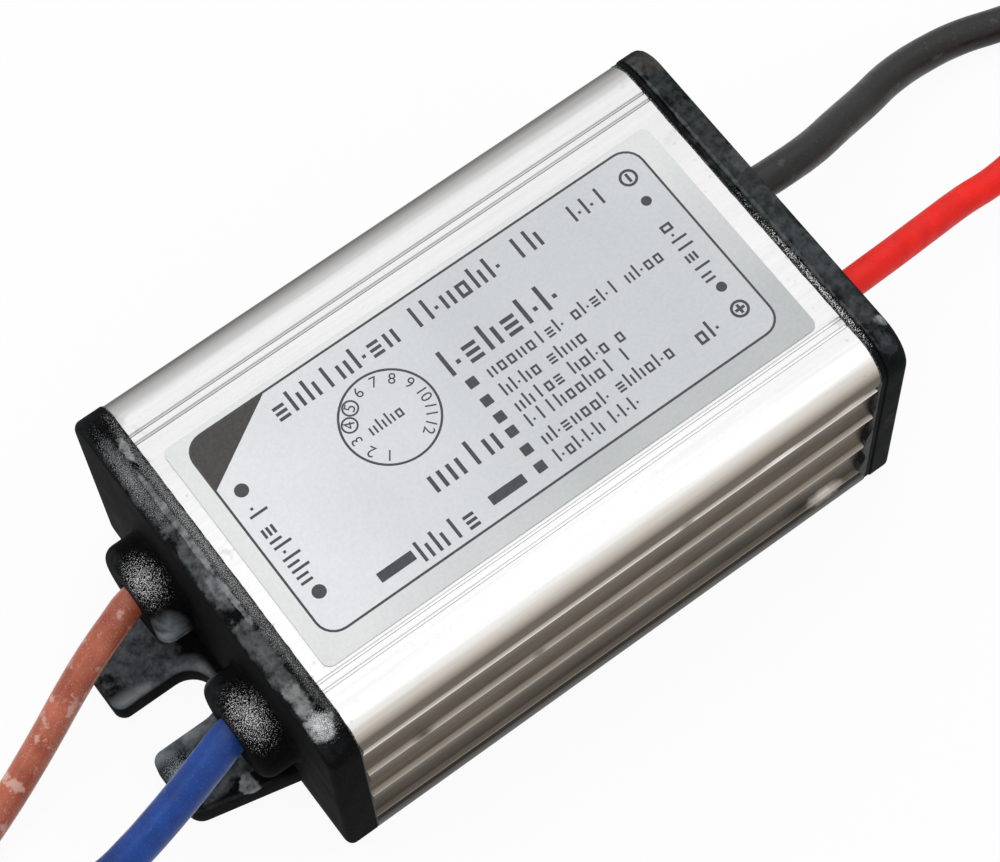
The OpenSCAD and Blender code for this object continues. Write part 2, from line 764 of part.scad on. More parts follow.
module controller_chip() {
    color(epoxy_black) translate([chip_x, 0, board_bottom]) {
        foot = chip_t / 5;
        translate([-chip_l / 2, -chip_w / 2, -chip_t]) cube([chip_l, chip_w, chip_t - foot]);
        for (i = [0 : 3], side = [-1, 1])
            translate([(i - 1.5) * chip_l / 4 - foot / 2, side < 0 ? -chip_w * 0.75 : chip_w * 0.25, -2 * foot])
                cube([foot, chip_w / 2, 2 * foot]);
    }
}

module chip_resistors() {
    color(epoxy_black) for (i = [0 : 3], j = [0, 1])
        translate([resistor_x - 2 * j * resistor_l, (i - 1.5) * 3 * resistor_w - resistor_w / 2,
                   board_bottom - resistor_t])
            cube([resistor_l, resistor_w, resistor_t]);
}

// How far a lead moves with its exit, at either end
function exit_shift(end, y, route) = [end * (boss_end_x - laid_boss_end), y - route[0][1]];

// Route that starts at its exit's place and comes down to the height at which the lead rests
function laid(route, shift, rest) =
    let (first = route[0][2], last = route[len(route) - 1][2])
    [for (p = route) [p[0] + shift[0], p[1] + shift[1],
                      rest + (p[2] - last) * (exit_z - rest) / (first - last)]];

// Direction of a route at one of its points
function heading(route, i) =
    unit(route[min(i + 1, len(route) - 1)] - route[max(i - 1, 0)]);

// Ring of points about a place, square to a direction
function ring(place, dir, r) =
    let (side = unit(cross(dir, [0, 0, 1])), up = cross(side, dir))
    [for (k = [0 : tube_sides - 1])
        place + r * (side * cos(360 * k / tube_sides) + up * sin(360 * k / tube_sides))];

// Tube along a route that ends square to the given direction
module tube(route, r, end_dir) {
    n = len(route);
    rings = [for (i = [0 : n - 1]) ring(route[i], i == n - 1 ? end_dir : heading(route, i), r)];
    walls = [for (i = [0 : n - 2], k = [0 : tube_sides - 1])
        let (k2 = (k + 1) % tube_sides, a = i * tube_sides, b = a + tube_sides)
        [a + k, b + k, b + k2, a + k2]];
    start_face = [for (k = [0 : tube_sides - 1]) k];
    end_face = [for (k = [tube_sides - 1 : -1 : 0]) (n - 1) * tube_sides + k];
    polyhedron(points = [for (one = rings) each one], faces = concat([start_face], walls, [end_face]));
}

// Direction of travel along a coil at an angle
function travel(angle, turn) = sign(turn) * [-sin(angle), cos(angle), 0];

// Part of a ring that stands for one turn of lead
module coil(centre, z, r, start, turn) {
    translate([centre[0], centre[1], z]) rotate([0, 0, turn > 0 ? start : start + turn])
        rotate_extrude(angle = abs(turn), $fn = 72) translate([coil_r, 0]) circle(r = r, $fn = 16);
}

// Tinned tip that goes straight on from the end of a coil
module tip(centre, z, start, turn) {
    a = start + turn;
    dir = travel(a, turn);
    translate([centre[0] + coil_r * cos(a), centre[1] + coil_r * sin(a), z])
        rotate([0, 90, atan2(dir[1], dir[0])]) cylinder(r = core_d / 2, h = tip_l, $fn = 16);
}

// The blue lead rests on the brown one and the red lead on the black one
brown_rest = brown_d / 2;
blue_rest = brown_d + blue_d / 2;
black_rest = black_d / 2;
red_rest = black_d + red_d / 2;
brown_shift = exit_shift(-1, brown_y, brown_route);
blue_shift = exit_shift(-1, blue_y, blue_route);
black_shift = exit_shift(1, black_y, black_route);
red_shift = exit_shift(1, red_y, red_route);

module brown_lead() {
    color(brown) tube(laid(brown_route, brown_shift, brown_rest), brown_d / 2, travel(brown_start, brown_turn));
}

module brown_lead_coil() {
    color(brown) coil(left_coil + brown_shift, brown_rest, brown_d / 2, brown_start, brown_turn);
}

module brown_lead_tip() {
    color(tin) tip(left_coil + brown_shift, brown_rest, brown_start, brown_turn);
}

module blue_lead() {
    color(blue) tube(laid(blue_route, blue_shift, blue_rest), blue_d / 2, travel(blue_start, blue_turn));
}

module blue_lead_coil() {
    color(blue) coil(left_coil + blue_shift, blue_rest, blue_d / 2, blue_start, blue_turn);
}

module blue_lead_tip() {
    color(tin) tip(left_coil + blue_shift, blue_rest, blue_start, blue_turn);
}

module red_lead() {
    color(red) tube(laid(red_route, red_shift, red_rest), red_d / 2, travel(red_start, red_turn));
}

module red_lead_coil() {
    color(red) coil(right_coil + red_shift, red_rest, red_d / 2, red_start, red_turn);
}

module red_lead_tip() {
    color(tin) tip(right_coil + red_shift, red_rest, red_start, red_turn);
}

module black_lead() {
    color(black) tube(laid(black_route, black_shift, black_rest), black_d / 2, travel(black_start, black_turn));
}

module black_lead_coil() {
    color(black) coil(right_coil + black_shift, black_rest, black_d / 2, black_start, black_turn);
}

module black_lead_tip() {
    color(tin) tip(right_coil + black_shift, black_rest, black_start, black_turn);
}

housing();
label();
input_cap();
output_cap();
input_seal();
output_seal();
circuit_board();
insulating_film();
left_core_half();
right_core_half();
transformer_bobbin();
transformer_winding();
transformer_pins();
input_capacitor();
output_capacitor();
choke_core();
choke_winding();
input_fuse();
surge_varistor();
bridge_rectifier();
isolation_capacitor();
switching_transistor();
output_diode();
controller_chip();
chip_resistors();
brown_lead();
brown_lead_coil();
brown_lead_tip();
blue_lead();
blue_lead_coil();
blue_lead_tip();
red_lead();
red_lead_coil();
red_lead_tip();
black_lead();
black_lead_coil();
black_lead_tip();
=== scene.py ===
# %% [markdown]
# # A small LED driver, dressed around its CAD frame
# The frame holds every piece of the driver at its real size: a fluted aluminium case, two moulded caps,
# the circuit inside and four leads. This file gives each piece its finish, and remakes the pieces whose
# form has more detail than a checked solid needs. All lengths are in metres, so `mm` keeps them readable.

# %% Load the frame
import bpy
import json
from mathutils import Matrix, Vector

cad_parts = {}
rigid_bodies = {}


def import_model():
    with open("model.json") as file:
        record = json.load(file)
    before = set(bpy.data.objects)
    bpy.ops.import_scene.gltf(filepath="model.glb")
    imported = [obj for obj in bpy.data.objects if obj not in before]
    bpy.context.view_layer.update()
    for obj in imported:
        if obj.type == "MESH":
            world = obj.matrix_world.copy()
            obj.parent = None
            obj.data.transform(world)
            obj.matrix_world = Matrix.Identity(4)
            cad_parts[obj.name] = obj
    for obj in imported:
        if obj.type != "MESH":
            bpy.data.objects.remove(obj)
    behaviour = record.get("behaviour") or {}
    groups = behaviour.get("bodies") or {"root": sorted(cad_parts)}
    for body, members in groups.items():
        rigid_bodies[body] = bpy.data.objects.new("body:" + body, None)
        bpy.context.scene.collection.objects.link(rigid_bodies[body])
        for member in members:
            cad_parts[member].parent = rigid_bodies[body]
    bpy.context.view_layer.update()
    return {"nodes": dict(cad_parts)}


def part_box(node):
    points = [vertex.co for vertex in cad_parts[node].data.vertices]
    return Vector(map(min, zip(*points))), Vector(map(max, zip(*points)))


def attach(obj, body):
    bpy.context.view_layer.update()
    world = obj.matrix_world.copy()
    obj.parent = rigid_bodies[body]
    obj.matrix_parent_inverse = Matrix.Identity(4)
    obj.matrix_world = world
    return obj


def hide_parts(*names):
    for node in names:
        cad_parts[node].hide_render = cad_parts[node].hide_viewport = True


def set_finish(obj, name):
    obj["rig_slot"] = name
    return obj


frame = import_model()

import json
import math
import random

import bmesh
import bpy
from mathutils import Matrix, Vector, noise

mm = 0.001
print("CAD nodes:", len(frame["nodes"]))

# %% [markdown]
# ## Camera
# The camera stands above the near left corner and looks steeply down. Its turn, tilt and roll were solved
# from the straight edges of the case and the label, so that every edge lies where the photograph has it.
# The picture's width decides the lens, and there is no shift.

# %% Camera
CAMERA_AZIMUTH = math.radians(-122.128)
CAMERA_ELEVATION = math.radians(66.544)
CAMERA_ROLL = math.radians(-4.673)
CAMERA_PLACE = Vector((-55.088, -88.682, 254.278)) * mm
IMAGE_WIDTH_PIXELS = 1000
FOCAL_PIXELS = 3201.5
SENSOR_WIDTH = 36.0


def camera_axes(azimuth, elevation, roll):
    """Right, up and back vectors of a camera that looks at the origin's side from that direction."""
    back = Vector((math.cos(elevation) * math.cos(azimuth), math.cos(elevation) * math.sin(azimuth),
                   math.sin(elevation)))
    right = (-back).cross(Vector((0, 0, 1))).normalized()
    down = (-back).cross(right)
    rolled_right = math.cos(roll) * right - math.sin(roll) * down
    rolled_down = math.sin(roll) * right + math.cos(roll) * down
    return rolled_right, -rolled_down, back


right, up, back = camera_axes(CAMERA_AZIMUTH, CAMERA_ELEVATION, CAMERA_ROLL)
camera_data = bpy.data.cameras.new("camera")
camera_data.sensor_fit = "HORIZONTAL"
camera_data.sensor_width = SENSOR_WIDTH
camera_data.lens = FOCAL_PIXELS * SENSOR_WIDTH / IMAGE_WIDTH_PIXELS
camera_data.clip_start = 10 * mm
camera = bpy.data.objects.new("camera", camera_data)
camera.matrix_world = Matrix.Translation(CAMERA_PLACE) @ Matrix((right, up, back)).transposed().to_4x4()
bpy.context.scene.collection.objects.link(camera)
bpy.context.scene.camera = camera
bpy.context.scene.view_settings.view_transform = "Standard"
print("lens:", round(camera_data.lens, 2), "mm")

# %% [markdown]
# ## Leads
# Four PVC leads leave the caps: brown and blue carry the mains in, red and black carry the output. Each is
# one smooth curve with a round section. It starts at the circuit board, passes through its boss, sinks to
# the table under its own weight, and the length that the picture doesn't show lies in one neat turn just
# outside the view. The blue turn lies on the brown one, and the red on the black. A Bezier spline with
# automatic handles passes through every point, so the points can be the ones chosen for the CAD route.

# %% Lead routes and sizes
LEADS = {
    "brown": {
        "diameter": 2.7 * mm, "exit": (-31.7, 6.9, 10.4), "coil_centre": (-63, -18.5),
        "coil_start": 105, "coil_turn": 280,
        "route": [(-19.4, 6.9, 10.4), (-24, 6.9, 10.4), (-28, 6.9, 10.4), (-31.7, 6.9, 10.4),
                  (-34, 6.2, 10.1), (-37, 5.4, 8.9), (-40, 4.6, 7), (-43, 3.7, 5),
                  (-46, 2.8, 3.2), (-49, 1.8, 2), (-52, 0.7, 1.5), (-55, -0.4, 1.35),
                  (-58, -1.4, 1.35), (-61, -2.4, 1.35), (-64, -3.3, 1.35), (-66.8, -4, 1.35)],
    },
    "blue": {
        "diameter": 3.2 * mm, "exit": (-31.7, -7.4, 10.4), "coil_centre": (-63, -18.5),
        "coil_start": 100, "coil_turn": 262,
        "route": [(-19.4, -7.4, 10.4), (-24, -7.4, 10.4), (-28, -7.4, 10.4), (-31.7, -7.4, 10.4),
                  (-34, -8, 10.1), (-37, -8.6, 9), (-40, -9, 7.5), (-43, -9.3, 6.1),
                  (-46, -9.5, 5.2), (-49, -9.2, 4.7), (-52, -8.4, 4.4), (-55.4, -7, 4.3),
                  (-58.8, -5.4, 4.3), (-62.2, -4.2, 4.3), (-65.6, -3.7, 4.3)],
    },
    "black": {
        "diameter": 3.2 * mm, "exit": (31.7, 6.1, 10.4), "coil_centre": (74, -8),
        "coil_start": 90, "coil_turn": -265,
        "route": [(19.4, 6.1, 10.4), (24, 6.1, 10.4), (28, 6.1, 10.4), (31.7, 6.1, 10.4),
                  (35, 6.2, 9.9), (39, 6.8, 8.5), (43, 7.9, 6.8), (47, 9, 5),
                  (51, 10.1, 3.5), (55, 10.5, 2.4), (59, 10.2, 1.8), (63, 9.1, 1.6),
                  (66.5, 8.1, 1.6), (70.2, 7.3, 1.6), (74, 7, 1.6)],
    },
    "red": {
        "diameter": 2.7 * mm, "exit": (31.7, -6.1, 10.4), "coil_centre": (74, -8),
        "coil_start": 120, "coil_turn": -290,
        "route": [(19.4, -6.1, 10.4), (24, -6.1, 10.4), (28, -6.1, 10.4), (31.7, -6.1, 10.4),
                  (35, -5.9, 10), (39, -5.4, 8.8), (43, -4.8, 7.4), (47, -4.3, 6.2),
                  (51, -4.1, 5.3), (54.5, -3.5, 4.9), (58, -2.1, 4.7), (61, 0.3, 4.6),
                  (63.8, 2.9, 4.55), (66.4, 4.9, 4.55)],
    },
}
COIL_RADIUS = 15
COIL_POINTS_PER_TURN = 24


def coil_points(lead):
    """Points along the turn of lead that the picture doesn't show, from the end of the route."""
    count = max(2, round(abs(lead["coil_turn"]) / 360 * COIL_POINTS_PER_TURN))
    z = lead["route"][-1][2]
    points = []
    for i in range(1, count + 1):
        angle = math.radians(lead["coil_start"] + lead["coil_turn"] * i / count)
        points.append((lead["coil_centre"][0] + COIL_RADIUS * math.cos(angle),
                       lead["coil_centre"][1] + COIL_RADIUS * math.sin(angle), z))
    return points


# %% Make the leads
def lead_curve(name, lead):
    """A Bezier curve through the route and the coil. Its points hold the lead's radius, in metres."""
    data = bpy.data.curves.new(f"{name}_lead_insulation", "CURVE")
    data.dimensions = "3D"
    data.bevel_depth = 1
    data.bevel_resolution = 7
    data.resolution_u = 8
    data.use_fill_caps = True
    spline = data.splines.new("BEZIER")
    points = lead["route"] + coil_points(lead)
    spline.bezier_points.add(len(points) - 1)
    for knot, place in zip(spline.bezier_points, points):
        knot.co = Vector(place) * mm
        knot.radius = lead["diameter"] / 2
        knot.handle_left_type = knot.handle_right_type = "AUTO"
    piece = bpy.data.objects.new(f"{name}_lead_insulation", data)
    bpy.context.scene.collection.objects.link(piece)
    return piece


def curve_length(piece):
    return piece.data.splines[0].calc_length()


for lead_name, lead in LEADS.items():
    piece = lead_curve(lead_name, lead)
    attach(piece, "root")
    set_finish(piece, f"{lead_name}_insulation")
    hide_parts(f"{lead_name}_lead", f"{lead_name}_lead_coil")
    print(lead_name, "lead:", round(curve_length(piece) / mm, 1), "mm")

# %% [markdown]
# The insulation is stripped for six millimetres at each far end. The bare strands are twisted together and
# tinned, so the tip is a tight bundle with a soft, uneven solder skin. Seven thin rods that follow a shared
# twist make the bundle: six around one. Seven open circles are spun about the bundle's middle while they
# move along it, and their ends are filled. The rods stay a hair apart, so that none is welded to the next.

# %% Tinned tips
TIP_STRANDS = 6
TIP_TWIST = math.radians(200)
TIP_STEPS = 14
TIP_LENGTH = 6 * mm
STRAND_SHARE = 0.985


def strand_bundle(place, direction, length, bundle_radius):
    """Twisted rods, six around one, from a place along a direction."""
    bm = bmesh.new()
    pitch = bundle_radius * 2 / 3
    for i in range(TIP_STRANDS + 1):
        ring = bmesh.ops.create_circle(bm, segments=8, radius=pitch / 2 * STRAND_SHARE)
        if i:
            around = Matrix.Rotation(math.tau * i / TIP_STRANDS, 3, "Z").col[0]
            bmesh.ops.translate(bm, verts=ring["verts"], vec=around * pitch)
    bmesh.ops.spin(bm, geom=list(bm.verts) + list(bm.edges), axis=(0, 0, 1), angle=TIP_TWIST, steps=TIP_STEPS,
                   dvec=(0, 0, length / TIP_STEPS))
    bmesh.ops.holes_fill(bm, edges=[e for e in bm.edges if e.is_boundary])
    turn = direction.to_track_quat("Z", "Y").to_matrix().to_4x4()
    bmesh.ops.transform(bm, matrix=Matrix.Translation(place) @ turn, verts=bm.verts)
    return bm


def mesh_piece(name, bm, smooth_angle=math.radians(35)):
    """Turns a bmesh into a finished piece at the origin, with its normals outwards and its sharp edges marked."""
    bmesh.ops.remove_doubles(bm, verts=bm.verts, dist=0.0005 * mm)
    bmesh.ops.recalc_face_normals(bm, faces=bm.faces)
    data = bpy.data.meshes.new(name)
    bm.to_mesh(data)
    bm.free()
    data.shade_smooth()
    data.set_sharp_from_angle(angle=smooth_angle)
    piece = bpy.data.objects.new(name, data)
    bpy.context.scene.collection.objects.link(piece)
    return piece


def add_piece(name, bm, slot, replaced=(), smooth_angle=math.radians(35)):
    """Finishes a piece that rides on the case and takes the place of CAD nodes."""
    piece = mesh_piece(name, bm, smooth_angle)
    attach(piece, "root")
    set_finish(piece, slot)
    if replaced:
        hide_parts(*replaced)
    print(name, "faces:", len(piece.data.polygons))
    return piece


def lead_end(lead):
    """Place and direction of the end of a lead's insulation."""
    angle = math.radians(lead["coil_start"] + lead["coil_turn"])
    place = Vector((lead["coil_centre"][0] + COIL_RADIUS * math.cos(angle),
                    lead["coil_centre"][1] + COIL_RADIUS * math.sin(angle), lead["route"][-1][2])) * mm
    way = math.copysign(1, lead["coil_turn"])
    return place, Vector((-math.sin(angle), math.cos(angle), 0)) * way


for lead_name, lead in LEADS.items():
    place, direction = lead_end(lead)
    low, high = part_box(f"{lead_name}_lead_tip")
    bm = strand_bundle(place, direction, TIP_LENGTH, (high.z - low.z) / 2)
    add_piece(f"{lead_name}_lead_strands", bm, "tinned_metal", [f"{lead_name}_lead_tip"])

# %% [markdown]
# ## Light and floor
# A wide soft lamp above gives the label face its even brightness, two small ones lift the left and the
# front, and a pale world fills the shadows. The floor is a pale plane. Camera, glossy and transmission rays
# see it mostly as plain white, and the rest of it keeps the driver's own soft shadow, so the background is
# white without any more light on the object. The world is as white for the same rays, so a low view has no
# grey above the floor's edge.

# %% World, lamps and floor
WORLD_STRENGTH = 0.58
SKY_SEEN = 0.985
SOFTBOX_SIZE = 0.95
SOFTBOX_RADIANCE = 0.88
FLOOR_TONE = (0.86, 0.86, 0.86)
FLOOR_WHITE_SHARE = 0.93
FLOOR_HALF_SIDE = 3


def cleared_tree(owner):
    """Empties the node tree of a material or a world and returns it."""
    owner.use_nodes = True
    owner.node_tree.nodes.clear()
    return owner.node_tree


def put(tree, socket, value):
    """Gives a socket a plain number or colour, or links another node's output to it."""
    if isinstance(value, (int, float)):
        socket.default_value = value
    elif isinstance(value, tuple):
        socket.default_value = (*value, 1)
    else:
        tree.links.new(value, socket)


def math_node(tree, operation, *values):
    node = tree.nodes.new("ShaderNodeMath")
    node.operation = operation
    for socket, value in zip(node.inputs, values):
        put(tree, socket, value)
    return node.outputs[0]


def seen_rays(tree):
    """1 for camera, glossy and transmission rays, and 0 for the rays that only carry light."""
    rays = tree.nodes.new("ShaderNodeLightPath")
    total = rays.outputs["Is Camera Ray"]
    for kind in ("Is Glossy Ray", "Is Transmission Ray"):
        total = math_node(tree, "MAXIMUM", total, rays.outputs[kind])
    return total


world = bpy.data.worlds.new("studio")
bpy.context.scene.world = world
tree = cleared_tree(world)
background = tree.nodes.new("ShaderNodeBackground")
put(tree, background.inputs["Color"], (1, 1, 1))
put(tree, background.inputs["Strength"],
    math_node(tree, "MULTIPLY_ADD", seen_rays(tree), SKY_SEEN - WORLD_STRENGTH, WORLD_STRENGTH))
put(tree, tree.nodes.new("ShaderNodeOutputWorld").inputs["Surface"], background.outputs[0])


def soft_lamp(name, place, aim, size, radiance):
    """Square lamp whose surface has the given brightness, whatever its size."""
    data = bpy.data.lights.new(name, "AREA")
    data.shape = "SQUARE"
    data.size = size
    data.energy = radiance * math.pi * size * size
    lamp = bpy.data.objects.new(name, data)
    facing = (Vector(aim) - Vector(place)).to_track_quat("-Z", "Y")
    lamp.matrix_world = Matrix.Translation(place) @ facing.to_matrix().to_4x4()
    bpy.context.scene.collection.objects.link(lamp)
    return lamp


soft_lamp("overhead_softbox", (0.12, 0.16, 0.52), (0.02, 0.03, 0), SOFTBOX_SIZE, SOFTBOX_RADIANCE)
soft_lamp("left_fill", (-0.5, 0.1, 0.35), (0, 0, 0.01), 0.22, 1.6)
soft_lamp("front_fill", (0.12, -0.46, 0.37), (0, 0, 0.01), 0.3, 0.55)

floor_material = bpy.data.materials.new("pale_floor")
tree = cleared_tree(floor_material)
diffuse = tree.nodes.new("ShaderNodeBsdfDiffuse")
put(tree, diffuse.inputs["Color"], FLOOR_TONE)
white = tree.nodes.new("ShaderNodeEmission")
put(tree, white.inputs["Color"], (1, 1, 1))
mix = tree.nodes.new("ShaderNodeMixShader")
share = math_node(tree, "MULTIPLY", seen_rays(tree), FLOOR_WHITE_SHARE)
for socket, value in zip(mix.inputs, (share, diffuse.outputs[0], white.outputs[0])):
    put(tree, socket, value)
put(tree, tree.nodes.new("ShaderNodeOutputMaterial").inputs["Surface"], mix.outputs[0])

bm = bmesh.new()
bmesh.ops.create_grid(bm, x_segments=1, y_segments=1, size=FLOOR_HALF_SIDE)
floor = mesh_piece("floor", bm)
floor.data.materials.append(floor_material)

# %% [markdown]
# ## Shared surface effects
# Four effects serve most of the finishes, so each is a node group with its own sockets: a cloud of fine
# specks, a slow mottling, a relief of mixed scales and a spot with a ragged edge. They read Object
# coordinates, because every piece sits at the origin, and put out only masks and heights.

# %% Node group helpers
def new_group(name, inputs, outputs):
    """Empty shader group; inputs are (socket type, name, default) and outputs (socket type, name)."""
    group = bpy.data.node_groups.new(name, "ShaderNodeTree")
    for kind, socket, default in inputs:
        made = group.interface.new_socket(name=socket, in_out="INPUT", socket_type=kind)
        if default is not None:
            made.default_value = default
    for kind, socket in outputs:
        group.interface.new_socket(name=socket, in_out="OUTPUT", socket_type=kind)
    return group, group.nodes.new("NodeGroupInput"), group.nodes.new("NodeGroupOutput")


def remap(tree, value, low, high, to_low=0.0, to_high=1.0):
    """Map Range node from a value's range to another, clamped."""
    node = tree.nodes.new("ShaderNodeMapRange")
    tree.links.new(value, node.inputs["Value"])
    for socket, number in (("From Min", low), ("From Max", high), ("To Min", to_low), ("To Max", to_high)):
        put(tree, node.inputs[socket], number)
    return node.outputs["Result"]


def mix_colour(tree, mask, first, second):
    """Mix of two colours by a mask; each colour is a tuple or a socket."""
    node = tree.nodes.new("ShaderNodeMix")
    node.data_type = "RGBA"
    for socket, value in ((node.inputs[0], mask), (node.inputs[6], first), (node.inputs[7], second)):
        put(tree, socket, value)
    return node.outputs[2]


def noise_texture(tree, vector, scale, detail=3.0, roughness=0.5):
    node = tree.nodes.new("ShaderNodeTexNoise")
    for socket, value in (("Vector", vector), ("Scale", scale), ("Detail", detail), ("Roughness", roughness)):
        put(tree, node.inputs[socket], value)
    return node.outputs[0]


def vector_node(tree, operation, *values):
    node = tree.nodes.new("ShaderNodeVectorMath")
    node.operation = operation
    for socket, value in zip(node.inputs, values):
        tree.links.new(value, socket)
    return node.outputs


# %% Speckle, mottle, relief and ragged spot
speckle, given, wanted = new_group(
    "fine_speckle",
    [("NodeSocketVector", "Vector", None), ("NodeSocketFloat", "Scale", 4000.0),
     ("NodeSocketFloat", "Amount", 0.2)],
    [("NodeSocketFloat", "Mask")])
cells = speckle.nodes.new("ShaderNodeTexVoronoi")
for socket in ("Vector", "Scale"):
    speckle.links.new(given.outputs[socket], cells.inputs[socket])
chance = speckle.nodes.new("ShaderNodeSeparateColor")
speckle.links.new(cells.outputs["Color"], chance.inputs[0])
threshold = math_node(speckle, "SUBTRACT", 1.0, given.outputs["Amount"])
picked = math_node(speckle, "GREATER_THAN", chance.outputs[0], threshold)
near = remap(speckle, cells.outputs["Distance"], 0.45, 0.2)
speckle.links.new(math_node(speckle, "MULTIPLY", picked, near), wanted.inputs["Mask"])

mottle, given, wanted = new_group(
    "slow_mottle",
    [("NodeSocketVector", "Vector", None), ("NodeSocketFloat", "Scale", 300.0), ("NodeSocketFloat", "Cover", 0.5)],
    [("NodeSocketFloat", "Mask"), ("NodeSocketFloat", "Cloud")])
cloud = noise_texture(mottle, given.outputs["Vector"], given.outputs["Scale"], 6.0, 0.6)
edge = math_node(mottle, "SUBTRACT", 0.75, math_node(mottle, "MULTIPLY", given.outputs["Cover"], 0.5))
edge_high = math_node(mottle, "ADD", edge, 0.07)
mottle.links.new(remap(mottle, cloud, edge, edge_high), wanted.inputs["Mask"])
mottle.links.new(cloud, wanted.inputs["Cloud"])

relief, given, wanted = new_group(
    "mixed_relief",
    [("NodeSocketVector", "Vector", None), ("NodeSocketFloat", "Coarse Scale", 400.0),
     ("NodeSocketFloat", "Fine Scale", 4000.0), ("NodeSocketFloat", "Fine Share", 0.4)],
    [("NodeSocketFloat", "Height")])
coarse = noise_texture(relief, given.outputs["Vector"], given.outputs["Coarse Scale"], 4.0)
fine = noise_texture(relief, given.outputs["Vector"], given.outputs["Fine Scale"], 2.0)
fine_part = math_node(relief, "MULTIPLY", fine, given.outputs["Fine Share"])
relief.links.new(math_node(relief, "ADD", coarse, fine_part), wanted.inputs["Height"])

ragged, given, wanted = new_group(
    "ragged_spot",
    [("NodeSocketVector", "Vector", None), ("NodeSocketVector", "Centre", None), ("NodeSocketVector", "Size", None),
     ("NodeSocketFloat", "Grain", 900.0), ("NodeSocketFloat", "Tear", 1.6)],
    [("NodeSocketFloat", "Mask"), ("NodeSocketFloat", "Fall")])
offset = vector_node(ragged, "SUBTRACT", given.outputs["Vector"], given.outputs["Centre"])[0]
scaled = vector_node(ragged, "DIVIDE", offset, given.outputs["Size"])[0]
reach = vector_node(ragged, "LENGTH", scaled)["Value"]
tear = noise_texture(ragged, given.outputs["Vector"], given.outputs["Grain"], 5.0, 0.65)
tear = math_node(ragged, "SUBTRACT", tear, 0.5)
tear = math_node(ragged, "MULTIPLY", tear, given.outputs["Tear"])
inside = math_node(ragged, "SUBTRACT", 1.0, reach)
torn = math_node(ragged, "ADD", inside, tear)
ragged.links.new(remap(ragged, torn, 0.3, 0.5), wanted.inputs["Mask"])
fall = math_node(ragged, "ADD", inside, math_node(ragged, "MULTIPLY", tear, 0.3))
ragged.links.new(remap(ragged, fall, 0.0, 1.0), wanted.inputs["Fall"])
print("groups:", [g.name for g in bpy.data.node_groups])

# %% Material helper
def finish_material(name, metallic=0.0, roughness=0.5, specular=0.5, coat=0.0):
    """Principled material with Object coordinates ready; returns what the recipes below need."""
    material = bpy.data.materials.new(name)
    tree = cleared_tree(material)
    shader = tree.nodes.new("ShaderNodeBsdfPrincipled")
    for socket, value in (("Metallic", metallic), ("Roughness", roughness), ("Specular IOR Level", specular),
                          ("Coat Weight", coat)):
        shader.inputs[socket].default_value = value
    out = tree.nodes.new("ShaderNodeOutputMaterial")
    tree.links.new(shader.outputs[0], out.inputs["Surface"])
    place = tree.nodes.new("ShaderNodeTexCoord").outputs["Object"]
    return material, tree, shader, place


def stretched(tree, place, scale):
    """Object coordinates scaled by a different amount on each axis, for grain that runs one way."""
    node = tree.nodes.new("ShaderNodeMapping")
    node.inputs["Scale"].default_value = scale
    tree.links.new(place, node.inputs["Vector"])
    return node.outputs[0]


def use_group(tree, group, place, **values):
    node = tree.nodes.new("ShaderNodeGroup")
    node.node_tree = group
    tree.links.new(place, node.inputs["Vector"])
    for socket, value in values.items():
        node.inputs[socket.replace("_", " ")].default_value = value
    return node


def bump(tree, shader, height, strength, distance):
    node = tree.nodes.new("ShaderNodeBump")
    node.inputs["Strength"].default_value = strength
    node.inputs["Distance"].default_value = distance
    tree.links.new(height, node.inputs["Height"])
    tree.links.new(node.outputs[0], shader.inputs["Normal"])
    return node


# %% [markdown]
# ## The aluminium case
# The CAD case has the true section. This one has the same section with every edge eased, as a drawn and
# anodised extrusion has: the ribs flow into the flutes, and the top grooves have soft lips. The section is
# a closed list of points, made from arcs and eased steps. It is filled once and extruded along X.

# %% Case sizes
HALF_L = 25.45
HALF_W = 17.9
HEIGHT = 23.8
WALL = 1.6
TOP_CORNER_R = 3.3
BOTTOM_CORNER_R = 0.8
RIB_R = 0.4
RIB_Z = [3.3, 8.7, 14.1, 19.5]
FLUTE_DEPTH = 0.35
DIP_W = 0.9
STEP_EASE = 0.22
GROOVE_Y = [13.26, 12.45]
GROOVE_W = 0.2
GROOVE_D = 0.1
GROOVE_EASE = 0.07


def arc(centre, radius, start, end, steps):
    """Points of an arc in degrees, both ends included."""
    turns = [math.radians(start + (end - start) * i / steps) for i in range(steps + 1)]
    return [(centre[0] + radius * math.cos(t), centre[1] + radius * math.sin(t)) for t in turns]


def eased_step(y0, z0, y1, z1, steps=6):
    """S-shaped way from one point to another that leaves and arrives upright."""
    points = []
    for i in range(steps + 1):
        t = i / steps
        points.append((y0 + (y1 - y0) * t * t * (3 - 2 * t), z0 + (z1 - z0) * t))
    return points


